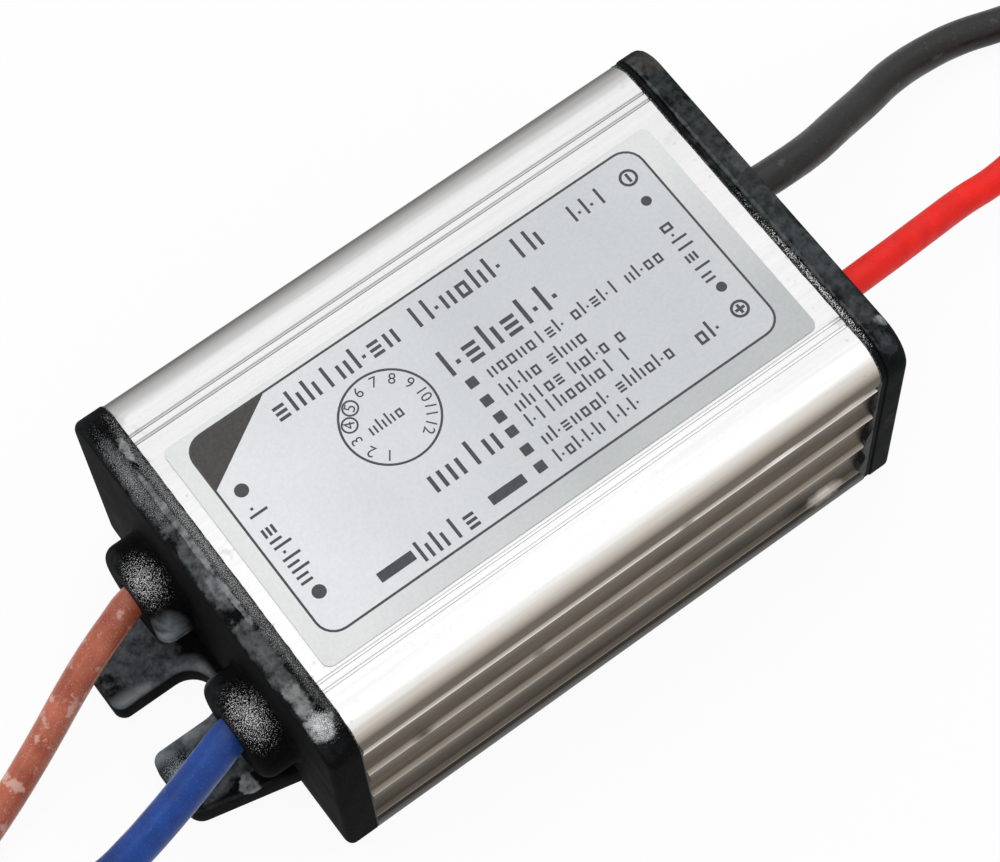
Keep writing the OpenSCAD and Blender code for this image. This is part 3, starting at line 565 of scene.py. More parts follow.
def side_section():
    """Outline of the +Y side and half of the top, from the bottom corner to the middle of the top."""
    wall_y = HALF_W - RIB_R
    low, high = RIB_Z[0] - DIP_W, RIB_Z[-1] + DIP_W
    points = arc((HALF_W - BOTTOM_CORNER_R, BOTTOM_CORNER_R), BOTTOM_CORNER_R, -90, 0, 6)
    points += eased_step(HALF_W, low - STEP_EASE, wall_y, low + STEP_EASE)
    for i, z in enumerate(RIB_Z):
        points += arc((wall_y - 0.02, z), RIB_R + 0.02, -78, 78, 10)
        if i + 1 < len(RIB_Z):
            mid = (z + RIB_Z[i + 1]) / 2
            half_chord = (RIB_Z[i + 1] - z) / 2 - RIB_R
            radius = (half_chord ** 2 + FLUTE_DEPTH ** 2) / (2 * FLUTE_DEPTH)
            spread = math.degrees(math.asin(half_chord / radius))
            flute = arc((wall_y - FLUTE_DEPTH + radius, mid), radius, 180 + spread, 180 - spread, 16)
            points += flute[1:-1]
    points += eased_step(wall_y, high - STEP_EASE, HALF_W, high + STEP_EASE)
    points += arc((HALF_W - TOP_CORNER_R, HEIGHT - TOP_CORNER_R), TOP_CORNER_R, 0, 90, 14)
    for y in GROOVE_Y:
        wide, e = GROOVE_W / 2, GROOVE_EASE
        points += [(y + wide + e, HEIGHT), (y + wide, HEIGHT - e), (y + wide, HEIGHT - GROOVE_D + e),
                   (y + wide - e, HEIGHT - GROOVE_D), (y - wide + e, HEIGHT - GROOVE_D),
                   (y - wide, HEIGHT - GROOVE_D + e), (y - wide, HEIGHT - e), (y - wide - e, HEIGHT)]
    return points


def mirrored(section):
    """Closed outline from its +Y half."""
    return section + [(-y, z) for y, z in reversed(section)]


def ring_of(bm, points):
    """Vertices at points given in millimetres."""
    return [bm.verts.new(Vector(point) * mm) for point in points]


def closed_loop(bm, points):
    """Vertices at points given in millimetres, and the edges that join them all round."""
    verts = ring_of(bm, points)
    return verts, [bm.edges.new((verts[i], verts[(i + 1) % len(verts)])) for i in range(len(verts))]


def skin(bm, rings):
    """Faces from each ring of vertices to the next one."""
    for first, second in zip(rings, rings[1:]):
        for i in range(len(first)):
            j = (i + 1) % len(first)
            bm.faces.new((first[i], first[j], second[j], second[i]))


def extruded(bm, faces, way):
    """Extrudes faces by a vector given in millimetres and returns what has grown."""
    grown = bmesh.ops.extrude_face_region(bm, geom=faces)["geom"]
    bmesh.ops.translate(bm, verts=[g for g in grown if isinstance(g, bmesh.types.BMVert)], vec=Vector(way) * mm)
    return grown


# %% Extrude the case
CAVITY_HALF_W = 15.55
CAVITY_TOP = 22.2
CAVITY_CORNER_R = 1.2
RAIL_D = 1.2
RAIL_Z = [(6, 7), (8.8, 9.8)]


def cavity_section():
    """Outline of the +Y half of the cavity with its two board rails."""
    points = arc((CAVITY_HALF_W - CAVITY_CORNER_R, WALL + CAVITY_CORNER_R), CAVITY_CORNER_R, -90, 0, 5)
    for low, high in RAIL_Z:
        points += [(CAVITY_HALF_W, low), (CAVITY_HALF_W - RAIL_D, low),
                   (CAVITY_HALF_W - RAIL_D, high), (CAVITY_HALF_W, high)]
    return points + arc((CAVITY_HALF_W - CAVITY_CORNER_R, CAVITY_TOP - CAVITY_CORNER_R),
                        CAVITY_CORNER_R, 0, 90, 5)


bm = bmesh.new()
edges = []
for section in (side_section(), cavity_section()):
    edges += closed_loop(bm, [(-HALF_L, y, z) for y, z in mirrored(section)])[1]
bmesh.ops.triangle_fill(bm, edges=edges, use_beauty=True)
extruded(bm, list(bm.faces), (2 * HALF_L, 0, 0))
case = add_piece("case_extrusion", bm, "case_aluminium", ["housing"], math.radians(40))

# %% [markdown]
# ## The moulded caps
# Each cap is a flange with a rounded outer edge, two bosses and a plug that reaches into the case. A loft
# through ever smaller outlines makes the rounding. The bosses are turned by a spin, with a small fillet at
# the root and a dished mouth round the lead. The input cap also has the slotted ear, bevelled all round.

# %% Cap sizes
SEAL_FACE_X = 25.55
FLANGE_FACE_X = 28.35
FLANGE_HALF_W = 18.02
FLANGE_TOP = 23.92
FLANGE_TOP_R = 3.42
FLANGE_BOTTOM_R = 1.2
FLANGE_EDGE_R = 0.7
LIP_WIDTH = 0.55
LIP_DEPTH = 0.1
LIP_EASE = 0.08
SEAL_EDGE_EASE = 0.06
ROUND_STEPS = 8
PLUG_DEPTH = 2.6
PLUG_HALF_W = 14.2
PLUG_LOW = 1.75
PLUG_HIGH = 22.05
PLUG_WALL = 1.4
ROOT_SUNK = 0.5
BOSS_R = 4.7
BOSS_END_X = 31.65
BOSS_EDGE_R = 1.2
BOSS_FILLET = 0.45
BOSS_SUNK = 0.4
EXIT_Z = 10.4
BORE_GAP = 0.1
MOUTH_EASE = 0.3
EAR_TIP_X = -37.45
EAR_T = 3.0
EAR_ROOT_HALF = 10.9
EAR_TIP_HALF = 8.7
EAR_CORNER_R = 1.4
EAR_BEVEL = 0.38
SLOT_HALF = 2.4
SLOT_X = -31.95
SLOT_MOUTH_R = 1.0


def round_case_outline(inset, steps=8):
    """Flange outline drawn in by an inset, as a closed list of points."""
    half, top = FLANGE_HALF_W - inset, FLANGE_TOP - inset
    low_r, top_r = FLANGE_BOTTOM_R - inset, FLANGE_TOP_R - inset
    side = arc((half - low_r, inset + low_r), low_r, -90, 0, steps)
    side += arc((half - top_r, top - top_r), top_r, 0, 90, steps)
    return mirrored(side)


def loft(bm, outlines):
    """Closed solid through outlines with the same number of points; outlines are (x, points)."""
    rings = [ring_of(bm, [(x, y, z) for y, z in outline]) for x, outline in outlines]
    skin(bm, rings)
    bm.faces.new(rings[0])
    bm.faces.new(rings[-1])


def flange(bm, end, lip=0.0):
    """Flange for the end at +1 or -1, with its outer edge rounded in eight steps and a lip beside the case."""
    steps = [(0, lip + SEAL_EDGE_EASE), (SEAL_EDGE_EASE, lip)]
    if lip:
        steps += [(LIP_WIDTH - LIP_EASE, lip), (LIP_WIDTH, lip * 2), (LIP_WIDTH + LIP_EASE, 0)]
    outlines = [(end * (SEAL_FACE_X + along), round_case_outline(inset)) for along, inset in steps]
    for i in range(ROUND_STEPS + 1):
        turn = math.radians(90 * i / ROUND_STEPS)
        outlines.append((end * (FLANGE_FACE_X - FLANGE_EDGE_R * (1 - math.sin(turn))),
                         round_case_outline(FLANGE_EDGE_R * (1 - math.cos(turn)))))
    loft(bm, outlines)


def plug(bm, end):
    """Ring that reaches into the case, as a closed wall."""
    x0, x1 = end * (HALF_L - PLUG_DEPTH), end * (SEAL_FACE_X + ROOT_SUNK)
    outer, inner = (
        [(half, low), (half, high), (-half, high), (-half, low)]
        for half, low, high in ((PLUG_HALF_W, PLUG_LOW, PLUG_HIGH),
                                (PLUG_HALF_W - PLUG_WALL, PLUG_LOW + PLUG_WALL, PLUG_HIGH - PLUG_WALL)))
    rings = [ring_of(bm, [(x, y, z) for y, z in outline])
             for x, outline in ((x0, outer), (x1, outer), (x1, inner), (x0, inner))]
    skin(bm, rings + rings[:1])


def boss(bm, end, y, lead_diameter):
    """Boss round a lead, spun about the lead's line."""
    bore = lead_diameter / mm / 2 + BORE_GAP
    profile = [(bore, BOSS_END_X - MOUTH_EASE), (bore + MOUTH_EASE * 0.3, BOSS_END_X - MOUTH_EASE * 0.3),
               (bore + MOUTH_EASE, BOSS_END_X)]
    for i in range(11):
        turn = math.radians(90 - 9 * i)
        profile.append((BOSS_R - BOSS_EDGE_R * (1 - math.cos(turn)),
                        BOSS_END_X - BOSS_EDGE_R * (1 - math.sin(turn))))
    for i in range(1, 6):
        turn = math.radians(18 * i)
        profile.append((BOSS_R + BOSS_FILLET * (1 - math.cos(turn)),
                        FLANGE_FACE_X + BOSS_FILLET * (1 - math.sin(turn))))
    profile += [(BOSS_R + BOSS_FILLET, FLANGE_FACE_X - BOSS_SUNK), (bore, FLANGE_FACE_X - BOSS_SUNK)]
    verts, edges = closed_loop(bm, [(end * x, y + r, EXIT_Z) for r, x in profile])
    bmesh.ops.spin(bm, geom=verts + edges, cent=Vector((0, y, EXIT_Z)) * mm, axis=(1, 0, 0),
                   angle=math.tau, steps=64, use_merge=True)


def rounded_outline(corners, steps=6):
    """Outline whose corners, each given as (x, y, radius), are rounded by arcs."""
    points = []
    for i, (x, y, radius) in enumerate(corners):
        at = Vector((x, y))
        if radius == 0:
            points.append(at)
            continue
        before = (Vector(corners[i - 1][:2]) - at).normalized()
        after = (Vector(corners[(i + 1) % len(corners)][:2]) - at).normalized()
        half_angle = before.angle(after) / 2
        centre = at + (before + after).normalized() * radius / math.sin(half_angle)
        start = at + before * radius / math.tan(half_angle) - centre
        sweep = start.angle_signed(at + after * radius / math.tan(half_angle) - centre)
        for step in range(steps + 1):
            points.append(centre + Matrix.Rotation(-sweep * step / steps, 2) @ start)
    return points


def ear(bm):
    """Flat ear with the open screw slot, its top and bottom edges bevelled."""
    root_x = -FLANGE_FACE_X + ROOT_SUNK
    corners = [(root_x, -EAR_ROOT_HALF, 0), (EAR_TIP_X, -EAR_TIP_HALF, EAR_CORNER_R),
               (EAR_TIP_X, -SLOT_HALF, SLOT_MOUTH_R)]
    outline = rounded_outline([*corners, (SLOT_X, -SLOT_HALF, 0), (SLOT_X, SLOT_HALF, 0),
                               (EAR_TIP_X, SLOT_HALF, SLOT_MOUTH_R), (EAR_TIP_X, EAR_TIP_HALF, EAR_CORNER_R),
                               (root_x, EAR_ROOT_HALF, 0)])
    slot_start = next(i for i, p in enumerate(outline) if p == Vector((SLOT_X, -SLOT_HALF)))
    slot_arc = [Vector(p) for p in arc((SLOT_X, 0), SLOT_HALF, -90, 90, 20)][1:-1]
    outline = outline[:slot_start + 1] + slot_arc + outline[slot_start + 1:]
    base = bm.faces.new(ring_of(bm, [(p.x, p.y, 0) for p in outline]))
    grown = extruded(bm, [base], (0, 0, EAR_T))
    top = next(g for g in grown if isinstance(g, bmesh.types.BMFace))
    bm.normal_update()
    # Every rim but the one sunk in the flange
    rims = [e for e in set(top.edges) | set(base.edges) if min(v.co.x for v in e.verts) < (root_x - 0.1) * mm]
    bmesh.ops.bevel(bm, geom=rims, offset=EAR_BEVEL * mm, affect="EDGES", segments=3, profile=0.5, material=-1,
                    offset_type="OFFSET")


# %% Make the caps
CAPS = {"input": (-1, 0.0, ("brown", "blue")), "output": (1, LIP_DEPTH, ("black", "red"))}
cap_pieces = {}
for end_name, (end, lip, lead_names) in CAPS.items():
    bm = bmesh.new()
    flange(bm, end, lip)
    plug(bm, end)
    for lead_name in lead_names:
        boss(bm, end, LEADS[lead_name]["exit"][1], LEADS[lead_name]["diameter"])
    if end_name == "input":
        ear(bm)
    cap_pieces[end_name] = add_piece(f"{end_name}_cap_moulding", bm, "cap_plastic", [f"{end_name}_cap"],
                                     math.radians(38))

# %% [markdown]
# ## Sealant
# The joints between the caps and the case are bedded in a grey sealant. Its bead is uneven: it stands a
# little proud of the flange here, and runs a millimetre down the case there. The mesh is a strip with a
# small bulged section that follows the case's outline, and noise sets its width and height at each place.

# %% Sealant beads
SEAL_STATION = 0.35
SEAL_SECTION = [(-0.15, -0.3), (-0.12, 0.7), (0.2, 1.0), (0.55, 0.8), (0.85, 0.4), (1.0, -0.15)]
FLUTE_FILL = 0.85
OOZE = 1.5
SEAL_REACH = 0.08


def resampled(outline, spacing):
    """Points spread evenly along a closed outline, each with its outward normal."""
    corners = [Vector(p) for p in outline]
    lengths = [(corners[(i + 1) % len(corners)] - corners[i]).length for i in range(len(corners))]
    count = round(sum(lengths) / spacing)
    step = sum(lengths) / count
    places, walked, i = [], 0.0, 0
    for k in range(count):
        target = k * step
        while walked + lengths[i] < target:
            walked += lengths[i]
            i += 1
        way = (corners[(i + 1) % len(corners)] - corners[i]).normalized()
        places.append((corners[i] + way * (target - walked), Vector((way.y, -way.x))))
    return places


def smooth_case_outline():
    """Outline of the case without its ribs and grooves, for the bead to follow."""
    side = arc((HALF_W - BOTTOM_CORNER_R, BOTTOM_CORNER_R), BOTTOM_CORNER_R, -90, 0, 5)
    side += arc((HALF_W - TOP_CORNER_R, HEIGHT - TOP_CORNER_R), TOP_CORNER_R, 0, 90, 12)
    return mirrored(side)


def seal_bead(bm, end, seed):
    """Uneven closed strip of sealant round one end of the case."""
    rings = []
    for place, outward in resampled(smooth_case_outline(), SEAL_STATION):
        spot = Vector((place.x, place.y, seed))
        slow = 0.5 + 0.5 * noise.noise(spot * 0.33)
        quick = noise.noise(spot * 1.3)
        reach = SEAL_REACH + 0.1 * slow + 0.07 * quick
        rise = 0.04 + 0.06 * slow + 0.03 * noise.noise(spot * 0.9 + Vector((9, 0, 0)))
        if place.y < 1:
            reach, rise = SEAL_REACH, 0.0
        on_side = abs(outward.x) > 0.9 and place.y > 1
        if on_side:
            rise *= 0.3
            reach += (OOZE if end > 0 else 0.5) * max(0.0, noise.noise(spot * 0.55 + Vector((4, 2, 0))))
        points = []
        for along, up in SEAL_SECTION:
            stand = up * rise if up > 0 else up
            if on_side and up < 0:
                stand = -FLUTE_FILL
            point = place + outward * stand
            points.append((end * (SEAL_FACE_X - along * reach), point.x, point.y))
        rings.append(ring_of(bm, points))
    skin(bm, rings + rings[:1])


for end, seed, end_name in ((-1, 3.0, "input"), (1, 8.0, "output")):
    bm = bmesh.new()
    seal_bead(bm, end, seed)
    add_piece(f"{end_name}_sealant_bead", bm, "sealant", [f"{end_name}_seal"], math.radians(80))

# %% [markdown]
# ## The label
# The sticker is a rounded rectangle with a turned-down rim. Everything printed on it is left generic: an
# outline with rounded corners, rows of small blocks where text would be, square bullets, a dial of plain
# numbers, and two polarity signs. Each piece of print is a thin flat mesh just proud of the foil.

# %% Label sizes
LABEL_X = -0.3
LABEL_Y = -0.7
LABEL_HALF_L = 23.9
LABEL_HALF_W = 11.35
LABEL_T = 0.12
LABEL_R = 0.8
LABEL_TOP = HEIGHT + LABEL_T
PRINT_T = 0.012
FRAME_LEFT, FRAME_RIGHT = -22.77, 21.67
FRAME_LOW, FRAME_HIGH = -10.2, 10.1
FRAME_R = 1.8
STROKE = 0.2


def box_outline(x0, x1, y0, y1, radius, steps=6):
    """Rounded rectangle, anticlockwise."""
    middles = [(x1 - radius, y0 + radius), (x1 - radius, y1 - radius), (x0 + radius, y1 - radius),
               (x0 + radius, y0 + radius)]
    points = []
    for i, middle in enumerate(middles):
        points += arc(middle, radius, 90 * (i - 1), 90 * i, steps)
    return points


def plate(bm, outline, z0, z1):
    """Closed flat solid over an outline of (x, y) points."""
    extruded(bm, [bm.faces.new(ring_of(bm, [(x, y, z0) for x, y in outline]))], (0, 0, z1 - z0))


def ring_plate(bm, outer, inner, z0, z1):
    """Closed flat solid between two outlines with the same number of points."""
    rings = [ring_of(bm, [(x, y, z) for x, y in outline])
             for outline, z in ((outer, z0), (outer, z1), (inner, z1), (inner, z0))]
    skin(bm, rings + rings[:1])


# %% Sticker
LABEL_RIM = 0.05
bm = bmesh.new()
rings = []
for z, inset in ((HEIGHT, 0), (LABEL_TOP - LABEL_RIM, 0), (LABEL_TOP - LABEL_RIM * 0.3, LABEL_RIM * 0.3),
                 (LABEL_TOP, LABEL_RIM)):
    outline = box_outline(LABEL_X - LABEL_HALF_L + inset, LABEL_X + LABEL_HALF_L - inset,
                          LABEL_Y - LABEL_HALF_W + inset, LABEL_Y + LABEL_HALF_W - inset, LABEL_R - inset)
    rings.append(ring_of(bm, [(x, y, z) for x, y in outline]))
skin(bm, rings)
bm.faces.new(rings[0])
bm.faces.new(rings[-1])
add_piece("label_sticker", bm, "label_foil", ["label"], math.radians(30))

# %% Print: the outline and the lighter field inside it
PRINT_LOW = LABEL_TOP - 0.01
PRINT_HIGH = LABEL_TOP + PRINT_T
bm = bmesh.new()
outer = box_outline(FRAME_LEFT, FRAME_RIGHT, FRAME_LOW, FRAME_HIGH, FRAME_R)
inner = box_outline(FRAME_LEFT + STROKE, FRAME_RIGHT - STROKE, FRAME_LOW + STROKE, FRAME_HIGH - STROKE,
                    FRAME_R - STROKE)
ring_plate(bm, outer, inner, PRINT_LOW, PRINT_HIGH)
add_piece("label_outline_print", bm, "label_foil")

bm = bmesh.new()
plate(bm, inner, PRINT_LOW, LABEL_TOP + PRINT_T / 2)
add_piece("label_field_print", bm, "label_foil")

# %% Print: generic rows, bullets, bars and signs
INK_SEED = 41
random.seed(INK_SEED)
ROWS = [
    {"x": (-15.2, 12.2), "y": 8.0, "high": 2.0, "word": (2, 9)},
    {"x": (-2.1, 9.0), "y": 3.2, "high": 2.5, "word": (6, 6)},
    {"x": (0.3, 18.0), "y": 0.64, "high": 1.25, "word": (4, 9)},
    {"x": (0.3, 8.9), "y": -1.32, "high": 1.25, "word": (4, 9)},
    {"x": (0.3, 11.1), "y": -3.07, "high": 1.25, "word": (3, 5)},
    {"x": (0.3, 10.7), "y": -4.64, "high": 1.25, "word": (4, 9)},
    {"x": (0.3, 13.8), "y": -6.58, "high": 1.25, "word": (4, 9)},
    {"x": (0.3, 8.4), "y": -8.39, "high": 1.25, "word": (3, 5)},
    {"x": (-8.9, -2.4), "y": -4.2, "high": 2.3, "word": (4, 4)},
    {"x": (-13.0, -6.6), "y": -8.5, "high": 1.9, "word": (4, 4)},
    {"x": (13.9, 18.3), "y": 7.8, "high": 1.6, "word": (5, 5)},
    {"x": (15.2, 18.4), "y": -7.0, "high": 1.6, "word": (3, 3)},
    {"x": (-5.3, 2.9), "y": -21.0, "high": 1.6, "word": (5, 5), "upright": True},
    {"x": (-3.7, 4.0), "y": 19.55, "high": 1.45, "word": (6, 6), "upright": True},
    {"x": (-10.1, -6.1), "y": 2.18, "high": 1.1, "word": (4, 4)},
]
MARK_WIDTH_SHARE = 0.52
MARK_GAP_SHARE = 0.24
MARK_STROKE_SHARE = 0.15
MARK_LOW_SHARE = 0.68


def glyph(bm, x, y, wide, high, upright, kind):
    """One small mark of bars that don't touch: a frame, tall and short bars, or lying bars."""
    pen = max(0.14, high * MARK_STROKE_SHARE)
    low = high * MARK_LOW_SHARE
    right = wide - pen

    def corners(bx, by, bw, bh):
        x0, x1, y0, y1 = x + bx, x + bx + bw, y - high / 2 + by, y - high / 2 + by + bh
        spots = [(x0, y0), (x1, y0), (x1, y1), (x0, y1)]
        return [(cy, cx) for cx, cy in reversed(spots)] if upright else spots

    if kind == 0:
        inside = corners(pen, pen, right - pen, low - 2 * pen)
        ring_plate(bm, corners(0, 0, wide, low), inside, LABEL_TOP, PRINT_HIGH)
    bars = [
        [],
        [(0, 0, pen, high), (right, 0, pen, low)],
        [(0, 0, wide, pen), (0, (low - pen) / 2, wide, pen), (0, low - pen, wide, pen)],
        [((wide - pen) / 2, 0, pen, high)],
        [(0, 0, pen, low), (right, 0, pen, low)],
        [(0, 0, pen, high), (right, (low - pen) / 2, pen, pen)],
    ][kind]
    for bar in bars:
        plate(bm, corners(*bar), LABEL_TOP, PRINT_HIGH)


def text_row(bm, row):
    """Row of made-up words between two ends."""
    wide, gap = row["high"] * MARK_WIDTH_SHARE, row["high"] * MARK_GAP_SHARE
    x, end = row["x"]
    while x + wide < end:
        for _ in range(random.randint(*row["word"])):
            if x + wide > end:
                break
            glyph(bm, x, row["y"], wide, row["high"], row.get("upright", False), random.randrange(6))
            x += wide + gap
        x += wide


BULLET = 0.9
BULLET_X = -1.2
BULLET_Y = [0.64, -1.32, -3.07, -4.64, -6.58, -8.39]
BARS = [(-15.05, -8.37, 3.3, 0.9), (-4.4, -8.39, 3.3, 0.9)]
DOTS = [(-21.0, 4.1, 0.6), (-21.0, -6.44, 0.6), (19.52, 5.11, 0.45), (19.6, -4.64, 0.45)]
SIGNS = [(19.64, 7.66, False), (19.57, -7.05, True)]
SIGN_R = 0.8

bm = bmesh.new()
for row in ROWS:
    text_row(bm, row)
for y in BULLET_Y:
    plate(bm, box_outline(BULLET_X - BULLET / 2, BULLET_X + BULLET / 2, y - BULLET / 2, y + BULLET / 2, 0.05, 1),
          LABEL_TOP, PRINT_HIGH)
for x, y, wide, high in BARS:
    plate(bm, box_outline(x - wide / 2, x + wide / 2, y - high / 2, y + high / 2, 0.05, 1), LABEL_TOP, PRINT_HIGH)
for x, y, radius in DOTS:
    plate(bm, arc((x, y), radius, 0, 345, 23), LABEL_TOP, PRINT_HIGH)
for x, y, plus in SIGNS:
    ring_plate(bm, arc((x, y), SIGN_R, 0, 350, 35), arc((x, y), SIGN_R - STROKE * 1.2, 0, 350, 35),
               LABEL_TOP, PRINT_HIGH)
    half, thin = SIGN_R * 0.55, STROKE * 0.65
    plate(bm, [(x - thin, y - half), (x + thin, y - half), (x + thin, y + half), (x - thin, y + half)],
          LABEL_TOP, PRINT_HIGH)
    if plus:
        for side in (-1, 1):
            plate(bm, [(x + side * thin, y - thin), (x + side * half, y - thin), (x + side * half, y + thin),
                       (x + side * thin, y + thin)][::side], LABEL_TOP, PRINT_HIGH)

# %% Print: the dial of plain numbers
DIAL = (-8.1, 2.18)
DIAL_R = 4.2
NUMBER_R = 3.25
NUMBER_SIZE = 1.35
DIAL_START = 234
DIAL_STEP = 26
MARKED = (4, 5)
MARKED_R = 0.72


def number_place(number):
    """Place of a number on the dial, and the angle of its spoke."""
    angle = math.radians(DIAL_START - DIAL_STEP * (number - 1))
    return (DIAL[0] + NUMBER_R * math.cos(angle), DIAL[1] + NUMBER_R * math.sin(angle)), angle


ring_plate(bm, arc(DIAL, DIAL_R, 0, 356, 89), arc(DIAL, DIAL_R - STROKE, 0, 356, 89), LABEL_TOP, PRINT_HIGH)
for number in MARKED:
    middle = number_place(number)[0]
    ring_plate(bm, arc(middle, MARKED_R, 0, 345, 23), arc(middle, MARKED_R - STROKE * 0.8, 0, 345, 23),
               LABEL_TOP, PRINT_HIGH)
add_piece("label_ink_print", bm, "label_foil")

# The dark corner of the frame follows the outline's rounded corner from the inside
inner_left, inner_high, inner_r = FRAME_LEFT + STROKE, FRAME_HIGH - STROKE, FRAME_R - STROKE
bm = bmesh.new()
plate(bm, [(-14.95, inner_high), *arc((inner_left + inner_r, inner_high - inner_r), inner_r, 90, 180, 8),
           (inner_left, 5.26)], LABEL_TOP, PRINT_HIGH)
add_piece("label_wedge_print", bm, "label_foil")

bm = bmesh.new()
for number in range(1, 13):
    middle, angle = number_place(number)
    words = bpy.data.curves.new(f"dial_number_{number}", "FONT")
    words.body = str(number)
    words.align_x = "CENTER"
    words.align_y = "CENTER"
    words.size = NUMBER_SIZE * mm
    words.extrude = PRINT_T * mm / 2
    holder = bpy.data.objects.new(f"dial_number_{number}", words)
    bpy.context.scene.collection.objects.link(holder)
    bpy.context.view_layer.update()
    data = bpy.data.meshes.new_from_object(holder)
    place = Vector((*middle, LABEL_TOP + PRINT_T / 2)) * mm
    data.transform(Matrix.Translation(place) @ Matrix.Rotation(angle - math.pi / 2, 4, "Z"))
    bm.from_mesh(data)
    bpy.data.objects.remove(holder)
    bpy.data.curves.remove(words)
    bpy.data.meshes.remove(data)
add_piece("dial_number_print", bm, "label_foil")

# %% [markdown]
# ## Finishes
# Every finish is a small function that builds a procedural material. Colours are written as the numbers a
# picture editor shows and turned into the linear values that Blender works in. The masks read Object
# coordinates, or an attribute that Python has stored on the mesh, so the marks stay on the driver whatever
# the camera does.

# %% Colour and mask helpers
def rgb(red, green, blue):
    """Linear colour from the 0 to 255 numbers of a picture editor."""
    shares = [c / 255 for c in (red, green, blue)]
    return tuple(c / 12.92 if c <= 10 / 255 else ((c + 0.055) / 1.055) ** 2.4 for c in shares)


def axes(tree, vector):
    node = tree.nodes.new("ShaderNodeSeparateXYZ")
    tree.links.new(vector, node.inputs[0])
    return node.outputs


def add_masks(tree, *masks):
    total = masks[0]
    for mask in masks[1:]:
        total = math_node(tree, "MAXIMUM", total, mask)
    return total


def times(tree, *masks):
    total = masks[0]
    for mask in masks[1:]:
        total = math_node(tree, "MULTIPLY", total, mask)
    return total


def spot(tree, place, centre, size, grain=900.0, tear=1.6):
    """Ragged spot round a place; centre and size are in millimetres. Its outputs are Mask and Fall."""
    node = use_group(tree, ragged, place, Grain=grain, Tear=tear)
    node.inputs["Centre"].default_value = [c * mm for c in centre]
    node.inputs["Size"].default_value = [c * mm for c in size]
    return node.outputs


def tone_ramp(tree, value, stops):
    """Colour ramp through stops given as a place from 0 to 1 and a tone of a picture editor."""
    node = tree.nodes.new("ShaderNodeValToRGB")
    elements = node.color_ramp.elements
    for element, (share, tone) in zip(elements, (stops[0], stops[-1])):
        element.position = share
        element.color = (*rgb(*tone), 1)
    for share, tone in stops[1:-1]:
        elements.new(share).color = (*rgb(*tone), 1)
    tree.links.new(value, node.inputs[0])
    return node.outputs[0]


def attribute_value(tree, name):
    node = tree.nodes.new("ShaderNodeAttribute")
    node.attribute_name = name
    return node.outputs["Fac"]


def stored(piece, name, rule):
    """Stores a number on every vertex of a mesh, worked out from its place and its normal."""
    data = piece.data
    values = [rule(v.co / mm, v.normal) for v in data.vertices]
    data.attributes.new(name, "FLOAT", "POINT").data.foreach_set("value", values)


def smooth(value, low, high):
    """Zero below low, one above high and eased between them."""
    t = min(1.0, max(0.0, (value - low) / (high - low)))
    return t * t * (3 - 2 * t)


# %% Aluminium
# The warm dark tone of the sides is painted reflection of dark surroundings, and the darker tone low on the sides
# is painted shade.
PAINTED_SIDE_REFLECTION = rgb(100, 91, 79)
PAINTED_LOW_SIDE_SHADE = rgb(45, 41, 36)
SMUDGE_TONE = rgb(58, 52, 45)
PAINTED_FLUTE_SHEEN = rgb(118, 110, 99)
TOP_TONE = rgb(209, 209, 209)
TOP_PAINTED_SHADE_FAR = rgb(194, 194, 194)
TOP_PAINTED_SHADE_OUTPUT = rgb(189, 189, 189)
GRAIN_LONG = (60, 2600, 2600)
GRAIN_FINE = (2500, 5200, 5200)
RIB_PITCH = RIB_Z[1] - RIB_Z[0]
# Painted reflection round the two top corners, from the side (0) to the top (1), and the painted highlight of the
# rib crests by height
NEAR_CORNER_PAINTED_REFLECTION = [(0.0, (98, 90, 79)), (0.11, (99, 92, 81)), (0.22, (108, 100, 90)), (0.33, (176, 167, 156)),
               (0.44, (207, 200, 192)), (0.56, (220, 217, 212)), (0.67, (236, 235, 234)), (0.78, (234, 234, 234)),
               (0.9, (212, 212, 212))]
FAR_CORNER_PAINTED_REFLECTION = [(0.2, (66, 64, 60)), (0.33, (76, 74, 71)), (0.44, (71, 69, 66)), (0.56, (139, 137, 134)),
              (0.67, (168, 166, 164)), (0.78, (173, 173, 172)), (0.89, (176, 176, 176)), (1.0, (194, 194, 194))]
CREST_HIGHLIGHT_BY_HEIGHT = [(0.0, (66, 60, 52)), (0.14, (112, 104, 94)), (0.36, (177, 169, 158)), (0.59, (198, 191, 181)),
                   (0.82, (240, 233, 222))]
# Places on the painted corner ramps that give the top grooves their tone
NEAR_GROOVE = 0.8
FAR_GROOVE = 0.92
# Dark and light marks on the near ribs, as centre, size and tone
CASE_NICKS = [
    ((-19.9, -17.8, 14.4), (1.3, 0.7, 0.8), (58, 52, 45)), ((-8.6, -17.8, 14.1), (0.9, 0.6, 0.6), (58, 52, 45)),
    ((18.7, -17.4, 3.9), (2.6, 0.9, 1.6), (40, 34, 28)), ((21.2, -17.6, 3.2), (2.4, 0.9, 1.2), (236, 228, 218)),
    ((11.6, -17.5, 4.6), (3.4, 0.8, 1.0), (50, 44, 38)), ((22.4, -17.8, 20.2), (2.4, 0.8, 0.7), (226, 220, 212)),
    ((15.5, -17.8, 19.6), (2.4, 0.6, 0.5), (250, 246, 240)), ((6.0, -17.8, 19.5), (0.9, 0.6, 0.5), (70, 62, 54)),
]


